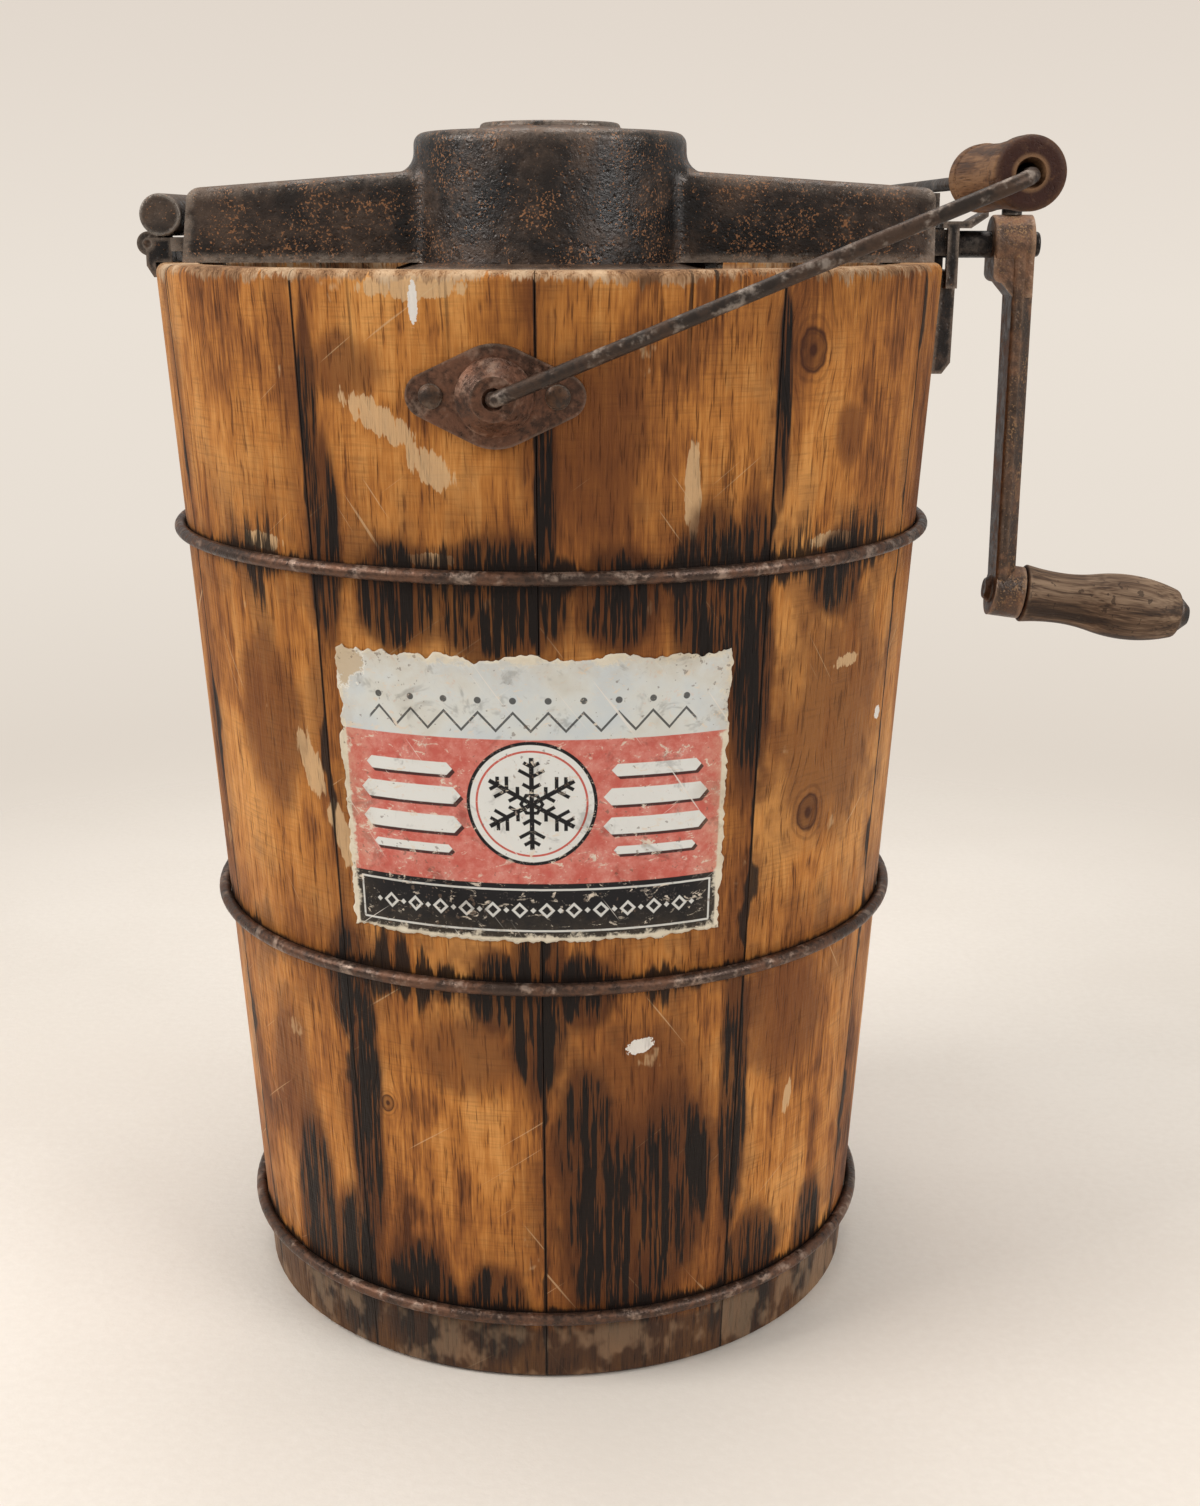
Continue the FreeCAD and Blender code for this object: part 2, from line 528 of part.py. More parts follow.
rivet_bores = []
for count, step in enumerate((-0.5, 0.5)):
    spot, way = ear_rivet_spot(step, -1, "-ear_thickness")
    rivet_bore = add("Part::Cylinder", f"ear_rivet_bore_{count}", Height="4 * ear_thickness",
                     Radius="rivet_shank_radius + fit_play")
    place(rivet_bore, *spot, facing(*way))
    rivet_bores.append(rivet_bore)
front_ear = combine("Part::Cut", "front_bail_ear",
                    combine("Part::MultiFuse", "ear_raised", ear_skin, dome),
                    cone_about_tub("ear_inner_cone", "skin_play"), ear_bore, ear_mouth, *rivet_bores)
node(front_ear, "front_bail_ear")
rear_ear = add("Part::Mirroring", "rear_bail_ear")
rear_ear.Source = front_ear
rear_ear.Normal = FreeCAD.Vector(0, 1, 0)
node(rear_ear, "rear_bail_ear")
for name, side in (("front_ear_rivets", -1), ("rear_ear_rivets", 1)):
    pair = []
    for count, step in enumerate((-0.5, 0.5)):
        spot, way = ear_rivet_spot(step, side, "skin_play + ear_thickness + 0.06")
        pair.append(headed_pin(f"{name}_{count}", *spot, way, "rivet_head_radius", "rivet_head_height",
                               "rivet_shank_radius", "rivet_shank_length"))
    group(name, pair)

# Bail: one bent wire, lying in the XY plane of its own frame with the pivot along Y
bail_tilt = FreeCAD.Rotation(FreeCAD.Vector(0, 1, 0), -size("bail_rest_angle"))
bail = doc.addObject("PartDesign::Body", "bail_wire")
tip_side = f"({dome_face} - bail_tip_depth)"
path_half = [
    ("0", f"-{tip_side}"),
    ("0", "-bail_leg_side + bail_pivot_bend", "bail_pivot_bend", "right"),
    ("bail_pivot_bend", "-bail_leg_side"),
    ("bail_reach - bail_corner_bend", "-bail_leg_side", "bail_corner_bend", "right"),
    ("bail_reach", "-bail_leg_side + bail_corner_bend"),
    ("bail_reach", "bail_leg_side - bail_corner_bend", "bail_corner_bend", "right"),
    ("bail_reach - bail_corner_bend", "bail_leg_side"),
    ("bail_pivot_bend", "bail_leg_side", "bail_pivot_bend", "right"),
    ("0", "bail_leg_side - bail_pivot_bend"),
    ("0", tip_side),
]
bail_path = outline(bail, "XY_Plane", path_half, "bail_path", closed=False)
bail_section = ring(bail, "XZ_Plane", "bail_wire_radius", name="bail_section")
bail_section.setExpression("AttachmentOffset.Base.z", formula(tip_side))
doc.recompute()
bail_pipe = feature(bail, "PartDesign::AdditivePipe", "bail_pipe", bail_section)
bail_pipe.Spine = (bail_path, [f"Edge{count}" for count in range(1, len(path_half))])
place(bail, "ear_shift", "0", "ear_level", bail_tilt)
node(bail, "bail_wire")

# Wooden grip on the bail, a turned sleeve with a bead at each end
half_grip = "grip_length / 2"
bead = "grip_bead_length"
grip = turned("bail_grip", [
    ("grip_bore_radius", f"-{half_grip} + grip_mouth_depth"),
    ("grip_mouth_radius", f"-{half_grip}"),
    ("grip_radius", f"-{half_grip}"),
    ("grip_radius", f"-{half_grip} + {bead}"),
    ("grip_groove_radius", f"-{half_grip} + {bead} + grip_groove_width / 2"),
    ("grip_radius - grip_shoulder", f"-{half_grip} + {bead} + grip_groove_width"),
    ("grip_waist_radius", "0"),
    ("grip_radius - grip_shoulder", f"{half_grip} - {bead} - grip_groove_width"),
    ("grip_groove_radius", f"{half_grip} - {bead} - grip_groove_width / 2"),
    ("grip_radius", f"{half_grip} - {bead}"),
    ("grip_radius", half_grip),
    ("grip_mouth_radius", half_grip),
    ("grip_bore_radius", f"{half_grip} - grip_mouth_depth"),
], [("grip_end_round", "grip_radius", f"-{half_grip}"), ("grip_end_round", "grip_radius", half_grip)])
place(grip, "ear_shift + bail_reach * cos(bail_rest_angle) + grip_hang", "grip_shift",
      "ear_level + bail_reach * sin(bail_rest_angle) + grip_rise", bail_tilt.multiply(facing(0, 1, 0)))
node(grip, "bail_grip")

# Gear frame: a drum over the gears and a channel arm to each side of the rim
frame_casting = doc.addObject("PartDesign::Body", "gear_frame")
drum_low = "tub_height - drum_ring_drop"
half_width = size("frame_width / 2")
rim_level = size("tub_height")


def arm_top_edge(edge):
    """The upper edges of the arms, along their sides and across their ends."""
    box = edge.BoundBox
    sloping = box.XLength > 20 and box.ZLength > 1 and abs(abs(box.Center.y) - half_width) < 0.1
    across = box.YLength > 30 and box.XLength < 0.1 and abs(box.Center.x) > size("drum_base_radius")
    return (sloping or across) and box.ZMin > rim_level + 5


def junction_edge(edge):
    """Edges where an arm's sides meet the drum."""
    box = edge.BoundBox
    return (box.ZLength > 15 and abs(abs(box.Center.y) - half_width) < 0.5
            and abs(abs(box.Center.x) - size("drum_base_radius") * 0.9) < 6)


arms = slab(frame_casting, "XZ_Plane", [
    ("-frame_left_reach", "tub_height"),
    ("frame_right_reach", "tub_height"),
    ("frame_right_reach - frame_right_lean", "tub_height + frame_end_height"),
    ("drum_top_radius", "tub_height + frame_root_height"),
    ("-drum_top_radius", "tub_height + frame_root_height"),
    ("frame_left_lean - frame_left_reach", "tub_height + frame_end_height"),
], "frame_width", name="arms")
soften(frame_casting, arms, "frame_edge_round", arm_top_edge, "arm_edges")
drum = spun(frame_casting, [
    ("0", drum_low),
    ("drum_ring_radius - ring_slope", drum_low),
    ("drum_ring_radius", "tub_height - ring_step"),
    ("drum_base_radius", "tub_height"),
    ("drum_top_radius", "drum_top_level - drum_edge_round", "drum_edge_round", "right"),
    ("drum_top_radius - drum_edge_round", "drum_top_level"),
    ("cap_radius + cap_slope", "drum_top_level"),
    ("cap_radius", "drum_top_level + cap_height - cap_edge_round", "cap_edge_round", "right"),
    ("cap_radius - cap_edge_round", "drum_top_level + cap_height"),
    ("0", "drum_top_level + cap_height"),
], name="drum")
soften(frame_casting, drum, "frame_corner_round", junction_edge, "arm_corners")
inner_half = "frame_width - 2 * frame_wall"
slab(frame_casting, "XZ_Plane", [
    ("frame_wall - frame_left_reach", f"{drum_low} - cut_past"),
    ("frame_right_reach - frame_end_wall", f"{drum_low} - cut_past"),
    ("frame_right_reach - frame_end_wall", "tub_height + frame_end_height - frame_wall"),
    ("drum_top_radius", "tub_height + frame_root_height - frame_wall"),
    ("-drum_top_radius", "tub_height + frame_root_height - frame_wall"),
    ("frame_wall + frame_left_lean - frame_left_reach", "tub_height + frame_end_height - frame_wall"),
], inner_half, cut=True, name="channel")
ring_inner = "drum_ring_radius - frame_wall - ring_step"
spun(frame_casting, [
    ("0", f"{drum_low} - cut_past"),
    (ring_inner, f"{drum_low} - cut_past"),
    (ring_inner, "tub_height - ring_step - frame_wall"),
    ("drum_inner_radius", "tub_height - ring_step"),
    ("drum_inner_radius", "drum_top_level - drum_roof"),
    ("roof_boss_radius", "drum_top_level - drum_roof"),
    ("roof_boss_radius", "drum_top_level - drum_roof - roof_boss_drop"),
    ("0", "drum_top_level - drum_roof - roof_boss_drop"),
], cut=True, name="gear_room")
spun(frame_casting, [
    ("0", "drum_top_level - drum_roof - roof_boss_drop - 1"),
    ("spigot_radius + running_play", "drum_top_level - drum_roof - roof_boss_drop - 1"),
    ("spigot_radius + running_play", "drum_top_level - drum_roof"),
    ("0", "drum_top_level - drum_roof"),
], cut=True, name="roof_bore")
# The drum's wall and its ring stay whole where the channel ran through them
spun(frame_casting, [
    (ring_inner, drum_low),
    ("drum_ring_radius - ring_slope", drum_low),
    ("drum_ring_radius - 0.1", "tub_height - ring_step"),
    ("drum_base_radius - 0.1", "tub_height"),
    ("drum_top_radius - 0.3", "drum_top_level - drum_roof - 1"),
    ("drum_inner_radius", "drum_top_level - drum_roof - 1"),
    ("drum_inner_radius", "tub_height - ring_step"),
    (ring_inner, "tub_height - ring_step - frame_wall"),
], name="drum_wall")


def along_x(body, kind, name, radius, start, stop, level="shaft_level", side="0"):
    """A round bar or bore along X in a body."""
    made = body.newObject(kind, name)
    bind(made, Radius=radius, Height=f"({stop}) - ({start})")
    return place(made, start, side, level, facing(1, 0, 0))


along_x(frame_casting, "PartDesign::AdditiveCylinder", "inner_bearing", "bearing_boss_radius",
        "bearing_boss_start", "bearing_boss_end")


def block(body, kind, name, x, y, z):
    """A square block or cut in a body, each side given as low and high."""
    made = body.newObject(kind, name)
    bind(made, Length=f"({x[1]}) - ({x[0]})", Width=f"({y[1]}) - ({y[0]})", Height=f"({z[1]}) - ({z[0]})")
    return place(made, x[0], y[0], z[0])


for name, low, high in (
        ("front_lug", "-lug_start_side - lug_thickness", "-lug_start_side"),
        ("rear_lug", "lug_start_side", "lug_start_side + lug_thickness")):
    block(frame_casting, "PartDesign::AdditiveBox", name,
          ("frame_right_reach - joint_overlap", "lug_reach"), (low, high), ("lug_low", "lug_high"))
block(frame_casting, "PartDesign::AdditiveBox", "sill",
      ("-sill_reach", "joint_overlap / 2 - frame_left_reach"),
      ("sill_inset - frame_width / 2", "frame_width / 2 - sill_inset"), ("sill_low", "sill_high"))
along_x(frame_casting, "PartDesign::SubtractiveCylinder", "shaft_bore", "shaft_radius + running_play",
        "bearing_boss_start - 3", "frame_right_reach + 2")
plate_screw_spots = [90, 210, 330]
for number, turn_angle in enumerate(plate_screw_spots):
    tap = frame_casting.newObject("PartDesign::SubtractiveCylinder", f"tap_{number}")
    bind(tap, Radius="plate_screw_radius", Height="plate_screw_length")
    place(tap, f"(drum_ring_radius + {ring_inner}) / 2 * cos({turn_angle})",
          f"(drum_ring_radius + {ring_inner}) / 2 * sin({turn_angle})", f"{drum_low} - cut_past")
node(frame_casting, "gear_frame")

# Gear plate: the floor of the drum, screwed to its ring
plate_top = drum_low
plate_low = f"{drum_low} - plate_thickness"
screw_circle = f"(drum_ring_radius + {ring_inner}) / 2"
gear_plate = turned("gear_plate", [
    ("wheel_hub_radius + plate_hole_play", plate_low),
    ("drum_ring_radius - ring_slope", plate_low),
    ("drum_ring_radius - ring_slope", plate_top),
    ("wheel_hub_radius + plate_hole_play", plate_top),
])
gear_plate_screws = []
for number, turn_angle in enumerate(plate_screw_spots):
    spot = (f"{screw_circle} * cos({turn_angle})", f"{screw_circle} * sin({turn_angle})")
    hole = gear_plate.newObject("PartDesign::SubtractiveCylinder", f"screw_hole_{number}")
    bind(hole, Radius="plate_screw_radius", Height="plate_thickness + 2")
    place(hole, *spot, f"{plate_low} - cut_past")
    gear_plate_screws.append(headed_pin(
        f"gear_plate_screw_{number}", *spot, plate_low, (0, 0, -1), "plate_screw_head_radius",
        "plate_screw_head_height", "plate_screw_radius", "plate_screw_length"))
node(gear_plate, "gear_plate")
group("gear_plate_screws", gear_plate_screws)

# Bevel gears: cones that meet where the crank shaft's line crosses the can's axis
apex = FreeCAD.Vector(0, 0, size("shaft_level"))
pinion_pitch = size("gear_module * pinion_teeth / 2")
wheel_pitch = size("gear_module * wheel_teeth / 2")
cone_length = math.hypot(pinion_pitch, wheel_pitch)
inner_scale = 1 - size("tooth_face") / cone_length
addendum = size("gear_module * tooth_addendum")
dedendum = size("gear_module * tooth_dedendum")


def cone_spot(radius, depth, rise, scale=1.0):
    """Radius and depth from the apex of a point at a height above a gear's pitch cone."""
    along = (radius / cone_length, depth / cone_length)
    return (scale * (radius + along[1] * rise), scale * (depth - along[0] * rise))


def bevel_tooth(radius, depth, pitch_width):
    """One straight bevel tooth on the +X side, its depth along +Z from the apex."""
    lean = math.tan(math.radians(size("tooth_lean")))
    rises = (-dedendum - size("tooth_root_sink"), addendum)
    rings = []
    for scale in (1.0, inner_scale):
        corners_here = []
        for rise, side in ((rises[0], -1), (rises[1], -1), (rises[1], 1), (rises[0], 1)):
            out, down = cone_spot(radius, depth, rise, scale)
            half = scale * (pitch_width / 2 - rise * lean)
            corners_here.append(FreeCAD.Vector(out, side * half, down))
        rings.append(Part.makePolygon(corners_here + corners_here[:1]))
    return Part.makeLoft(rings, True, True)


def lathe(points):
    """A solid turned about Z from radius and depth pairs."""
    face = Part.Face(Part.makePolygon([FreeCAD.Vector(r, 0, d) for r, d in points + points[:1]]))
    return face.revolve(FreeCAD.Vector(), FreeCAD.Vector(0, 0, 1), 360)


def bevel_gear(radius, depth, teeth, first_angle, blank, holes):
    """A gear with its apex at the origin and its depth along +Z."""
    pitch_width = 2 * math.pi * radius / teeth * size("tooth_share")
    tooth = bevel_tooth(radius, depth, pitch_width)
    ring_of_teeth = []
    for number in range(teeth):
        copy = tooth.copy()
        copy.rotate(FreeCAD.Vector(), FreeCAD.Vector(0, 0, 1), math.degrees(
            first_angle + 2 * math.pi * number / teeth))
        ring_of_teeth.append(copy)
    shape = lathe(blank).fuse(ring_of_teeth)
    for hole in holes:
        shape = shape.cut(hole)
    return shape.removeSplitter()


def bar(radius, low, high):
    """A round bar along Z for a bore."""
    return Part.makeCylinder(radius, high - low, FreeCAD.Vector(0, 0, low))


def square_bar(side, low, high):
    """A square bar along Z for a socket."""
    return Part.makeBox(side, side, high - low, FreeCAD.Vector(-side / 2, -side / 2, low))


def gear_node(label, shape, turn):
    """Place a gear with its apex where the axes cross."""
    gear = doc.addObject("Part::Feature", label)
    gear.Shape = shape
    gear.Placement = FreeCAD.Placement(apex, turn)
    return node(gear, label)


wheel_tooth_count = round(size("wheel_teeth"))
half_wheel_tooth = math.pi / wheel_tooth_count
outer_root = cone_spot(wheel_pitch, pinion_pitch, -dedendum)
inner_root = cone_spot(wheel_pitch, pinion_pitch, -dedendum, inner_scale)
web_depth = size("wheel_web_depth")
hub = size("wheel_hub_radius")
hub_top = size("wheel_hub_rise")
collar = size("wheel_collar_radius")
plate_depth = size(f"shaft_level - ({plate_top})") - 0.2
hub_foot = size("can_gear_hub_drop")
stem_bore = size("stem_radius + stem_play")
can_gear_blank = [
    (0, hub_top), (hub, hub_top), (hub, inner_root[1] + 2), (inner_root[0] - 1, inner_root[1] + 2),
    inner_root, outer_root, (outer_root[0] - 1.5, web_depth), (collar, web_depth),
    (collar, plate_depth), (hub, plate_depth), (hub, hub_foot), (0, hub_foot)]
socket_side = size("drive_square + 2 * drive_play")
socket_top = hub_foot - size("drive_square_height + 1")
gear_node("can_gear", bevel_gear(
    wheel_pitch, pinion_pitch, wheel_tooth_count, half_wheel_tooth, can_gear_blank,
    [bar(stem_bore, 0, hub_foot + 1), square_bar(socket_side, socket_top, hub_foot + 1)]),
    FreeCAD.Rotation(FreeCAD.Vector(1, 0, 0), 180))

dasher_hub = size("dasher_hub_top")
spigot = size("spigot_radius")
spigot_high = size("spigot_top")
dasher_gear_blank = [
    (0, hub_top), (hub, hub_top), (hub, inner_root[1] + 2), (inner_root[0] - 1, inner_root[1] + 2),
    inner_root, outer_root, (outer_root[0] - 1.5, web_depth), (hub, web_depth),
    (hub, dasher_hub - 0.3), (spigot, dasher_hub - 0.3), (spigot, spigot_high), (0, spigot_high)]
gear_node("dasher_gear", bevel_gear(
    wheel_pitch, pinion_pitch, wheel_tooth_count, half_wheel_tooth, dasher_gear_blank,
    [square_bar(size("stem_square") + 0.2, 0, size("stem_high - shaft_level") + 0.5)]),
    FreeCAD.Rotation())

pinion_tooth_count = round(size("pinion_teeth"))
pinion_outer_root = cone_spot(pinion_pitch, wheel_pitch, -dedendum)
pinion_inner_root = cone_spot(pinion_pitch, wheel_pitch, -dedendum, inner_scale)
pinion_hub = size("pinion_hub_radius")
pinion_hub_end = size("pinion_hub_end")
pinion_back = pinion_outer_root[1] + 1.5
pinion_blank = [
    (0, pinion_inner_root[1]), pinion_inner_root, pinion_outer_root,
    (pinion_hub, pinion_back), (pinion_hub, pinion_hub_end), (0, pinion_hub_end)]
cross_hole = Part.makeCylinder(size("pinion_pin_radius") + 0.02, 4 * pinion_hub,
                               FreeCAD.Vector(0, -2 * pinion_hub, size("pinion_pin_at")),
                               FreeCAD.Vector(0, 1, 0))
gear_node("drive_pinion", bevel_gear(
    pinion_pitch, wheel_pitch, pinion_tooth_count, 0, pinion_blank,
    [bar(size("shaft_radius + fit_play"), 0, pinion_hub_end + 1), cross_hole]),
    facing(1, 0, 0))

# Crank shaft, along X
shaft = turned("crank_shaft", [
    ("0", "shaft_start"),
    ("shaft_radius", "shaft_start"),
    ("shaft_radius", "hub_outer_face"),
    ("shaft_tip_radius", "hub_outer_face"),
    ("shaft_tip_radius", "shaft_end"),
    ("0", "shaft_end"),
], [("shaft_tip_round", "shaft_tip_radius", "shaft_end")])
shaft_hole = shaft.newObject("PartDesign::SubtractiveCylinder", "pin_hole")
bind(shaft_hole, Radius="pinion_pin_radius + fit_play", Height="4 * shaft_radius")
place(shaft_hole, "0", "-2 * shaft_radius", "pinion_pin_at", facing(0, 1, 0))
place(shaft, z="shaft_level", turn=facing(1, 0, 0))
node(shaft, "crank_shaft")
pinion_pin = add("Part::Cylinder", "pinion_pin", Radius="pinion_pin_radius", Height="2 * pinion_hub_radius")
node(place(pinion_pin, "pinion_pin_at", "-pinion_hub_radius", "shaft_level", facing(0, 1, 0)), "pinion_pin")

# Crank arm: a hub on the shaft, a tapering bar and an eye tilted to the handle
arm = doc.addObject("PartDesign::Body", "crank_arm")
eye_level = "shaft_level - crank_throw"
arm_sketch = outline(arm, "YZ_Plane", [
    ("-arm_hub_width / 2", "shaft_level"),
    ("-arm_eye_width / 2", eye_level),
    ("arm_eye_width / 2", eye_level),
    ("arm_hub_width / 2", "shaft_level"),
], "arm_outline")
arm_sketch.setExpression("AttachmentOffset.Base.z", formula("arm_inner_face"))
arm_bar = feature(arm, "PartDesign::Pad", "arm_bar", arm_sketch, Length="arm_thickness")


def outer_long_edge(edge):
    """The two long edges on the bar's outer side."""
    box = edge.BoundBox
    return box.ZLength > 60 and abs(box.Center.x - size("arm_inner_face + arm_thickness")) < 0.1


def inner_long_edge(edge):
    """The two long edges on the bar's inner side."""
    box = edge.BoundBox
    return box.ZLength > 60 and abs(box.Center.x - size("arm_inner_face")) < 0.1


bevelled = soften(arm, arm_bar, "arm_chamfer", outer_long_edge, "bar_bevel", "PartDesign::Chamfer")
soften(arm, bevelled, "arm_inner_round", inner_long_edge, "bar_round")
along_x(arm, "PartDesign::AdditiveCylinder", "hub", "hub_radius", "hub_inner_face", "hub_outer_face")
slab(arm, "XZ_Plane", [
    ("hub_inner_face", "shaft_level"),
    ("hub_inner_face", "shaft_level - hub_lobe_drop + hub_lobe_round", "hub_lobe_round", "right"),
    ("hub_inner_face + hub_lobe_round", "shaft_level - hub_lobe_drop"),
    ("arm_inner_face + hub_lobe_inset", "shaft_level - hub_lobe_foot"),
    ("hub_outer_face", "shaft_level - hub_lobe_foot"),
    ("hub_outer_face", "shaft_level"),
], "arm_hub_width - joint_overlap", name="hub_lobe")
handle_way = FreeCAD.Vector(math.cos(math.radians(size("handle_droop"))), 0,
                            -math.sin(math.radians(size("handle_droop"))))
eye = arm.newObject("PartDesign::AdditiveCylinder", "eye")
bind(eye, Radius="eye_radius", Height="eye_thickness")
place(eye, "eye_inner_face", "0", eye_level, facing(*handle_way))
eye_bore = arm.newObject("PartDesign::SubtractiveCylinder", "eye_bore")
bind(eye_bore, Radius="pin_radius + fit_play", Height="2 * eye_thickness")
place(eye_bore, "eye_inner_face - eye_thickness / 2 * cos(handle_droop)", "0",
      f"{eye_level} + eye_thickness / 2 * sin(handle_droop)", facing(*handle_way))
rivet_seat = arm.newObject("PartDesign::SubtractiveCylinder", "rivet_seat")
bind(rivet_seat, Radius="pin_inner_head_radius + 0.1", Height="pin_inner_head_height * 2")
place(rivet_seat, "eye_inner_face - 2 * pin_inner_head_height * cos(handle_droop)", "0",
      f"{eye_level} + 2 * pin_inner_head_height * sin(handle_droop)", facing(*handle_way))
bored = along_x(arm, "PartDesign::SubtractiveCylinder", "hub_bore", "shaft_radius + fit_play",
                "hub_inner_face - 1", "hub_outer_face + 1")


def arm_round_edge(edge):
    """The outer edges of the hub's two faces and of the eye."""
    curve = edge.Curve
    if curve.TypeId != "Part::GeomCircle":
        return False
    return abs(curve.Radius - size("hub_radius")) < 0.05 and edge.BoundBox.Center.x < size("arm_inner_face")


arm_last = soften(arm, bored, "hub_round", arm_round_edge, "worn_edges")
screw_bore = arm.newObject("PartDesign::SubtractiveCylinder", "screw_bore")
bind(screw_bore, Radius="set_screw_shank + fit_play", Height="hub_radius")
place(screw_bore, "(hub_inner_face + hub_outer_face) / 2", "0", "shaft_level + shaft_radius")
node(arm, "crank_arm")
set_screw = headed_pin("crank_set_screw", "(hub_inner_face + hub_outer_face) / 2", "0",
                       "shaft_level + hub_radius", (0, 0, 1), "set_screw_radius", "set_screw_height",
                       "set_screw_shank", "hub_radius - shaft_radius - 0.1", flat=True)
node(set_screw, "crank_set_screw")

# Crank handle: turned wood that spins on a long rivet; local Z runs away from the eye
handle = turned("crank_handle", [
    ("pin_radius + running_play", "0"),
    ("handle_start_radius", "0", "handle_start_curve", "left"),
    ("handle_waist_radius", "handle_waist_at", "handle_neck_curve", "left"),
    ("(handle_waist_radius + handle_belly_radius) / 2", "(handle_waist_at + handle_belly_at) / 2",
     "handle_belly_curve", "right"),
    ("handle_belly_radius", "handle_belly_at", "handle_tail_curve", "right"),
    ("handle_end_radius", "handle_length"),
    ("pin_radius + running_play", "handle_length"),
], [("handle_end_round", "handle_end_radius", "handle_length"),
    ("handle_start_round", "handle_start_radius", "0")])


def along_handle(distance):
    """Place formulas for a distance along the handle's axis from the eye's inner face."""
    return (f"eye_inner_face + ({distance}) * cos(handle_droop)", "0",
            f"{eye_level} - ({distance}) * sin(handle_droop)")


place(handle, *along_handle("eye_thickness + handle_gap"), facing(*handle_way))
node(handle, "crank_handle")
pin_end = "eye_thickness + handle_gap + handle_length + head_seat_play"
handle_pin = turned("handle_pin", [
    ("0", "-pin_inner_head_height"),
    ("pin_inner_head_radius - 1.6", "-pin_inner_head_height"),
    ("pin_inner_head_radius", "-0.6"),
    ("pin_inner_head_radius", "0"),
    ("pin_radius", "0"),
    ("pin_radius", pin_end),
    ("pin_outer_head_radius", pin_end),
    ("pin_outer_head_radius", f"{pin_end} + 0.8"),
    ("pin_outer_head_radius - 2.6", f"{pin_end} + pin_outer_head_height - 0.5"),
    ("0", f"{pin_end} + pin_outer_head_height"),
])
place(handle_pin, *along_handle("0"), facing(*handle_way))
node(handle_pin, "handle_pin")

# Can: a thin drawn can with a rolled bead, its pivot below and its lid above
can = turned("can_shell", [
    ("centre_pin_radius + 0.1", "can_low"),
    ("can_radius", "can_low"),
    ("can_radius", "can_high"),
    ("can_radius - can_wall", "can_high"),
    ("can_radius - can_wall", "can_low + can_wall"),
    ("centre_pin_radius + 0.1", "can_low + can_wall"),
])
node(can, "can_shell")
can_pivot = turned("can_pivot", [
    ("0", "can_low - pivot_flange_thickness - pivot_depth"),
    ("pivot_radius", "can_low - pivot_flange_thickness - pivot_depth"),
    ("pivot_radius", "can_low - pivot_flange_thickness"),
    ("pivot_flange_radius", "can_low - pivot_flange_thickness"),
    ("pivot_flange_radius", "can_low"),
    ("centre_pin_radius", "can_low"),
    ("centre_pin_radius", "can_low + can_wall + centre_pin_height"),
    ("0", "can_low + can_wall + centre_pin_height"),
])
node(can_pivot, "can_pivot")
lid = turned("can_lid", [
    ("stem_radius + stem_play", "can_high"),
    ("can_radius + lid_play", "can_high"),
    ("can_radius + lid_play", "can_high - lid_skirt_depth"),
    ("can_radius + lid_play + lid_thickness", "can_high - lid_skirt_depth"),
    ("can_radius + lid_play + lid_thickness", "can_high + lid_thickness"),
    ("lid_hub_radius", "can_high + lid_thickness"),
    ("lid_hub_radius", "can_high + lid_thickness + lid_hub_height"),
    ("stem_radius + stem_play", "can_high + lid_thickness + lid_hub_height"),
])
drive = lid.newObject("PartDesign::AdditiveBox", "drive_square_block")
bind(drive, Length="drive_square", Width="drive_square", Height="drive_square_height + 1")
place(drive, "-drive_square / 2", "-drive_square / 2", "can_high + lid_thickness + lid_hub_height - 1")
drive_bore = lid.newObject("PartDesign::SubtractiveCylinder", "drive_bore")
bind(drive_bore, Radius="stem_radius + stem_play", Height="4 * drive_square_height")
place(drive_bore, z="can_high - drive_square_height")
node(lid, "can_lid")

# Step bearing on the middle bottom board
board_top = "board_low + board_thickness"
step = turned("step_bearing", [
    ("0", board_top),
    ("step_flange_radius", board_top),
    ("step_flange_radius", f"{board_top} + step_flange_thickness"),
    ("step_radius", f"{board_top} + step_flange_thickness"),
    ("step_radius", f"{board_top} + step_height"),
    ("pivot_radius + running_play", f"{board_top} + step_height"),
    ("pivot_radius + running_play", "can_low - pivot_flange_thickness - pivot_depth - head_seat_play"),
    ("0", "can_low - pivot_flange_thickness - pivot_depth - head_seat_play"),
])
step_screws = []
for number in range(3):
    turn_angle = 30 + 120 * number
    reach = "((step_radius + step_flange_radius) / 2)"
    spot = (f"{reach} * cos({turn_angle})", f"{reach} * sin({turn_angle})")
    hole = step.newObject("PartDesign::SubtractiveCylinder", f"step_hole_{number}")
    bind(hole, Radius="step_screw_radius", Height="2 * step_flange_thickness")
    place(hole, *spot, f"{board_top} - cut_past")
    step_screws.append(headed_pin(f"step_screw_{number}", *spot, f"{board_top} + step_flange_thickness",
                                  (0, 0, 1), "step_screw_head", "step_screw_head / 2",
                                  "step_screw_radius", "step_screw_length"))
node(step, "step_bearing")
group("step_bearing_screws", step_screws)

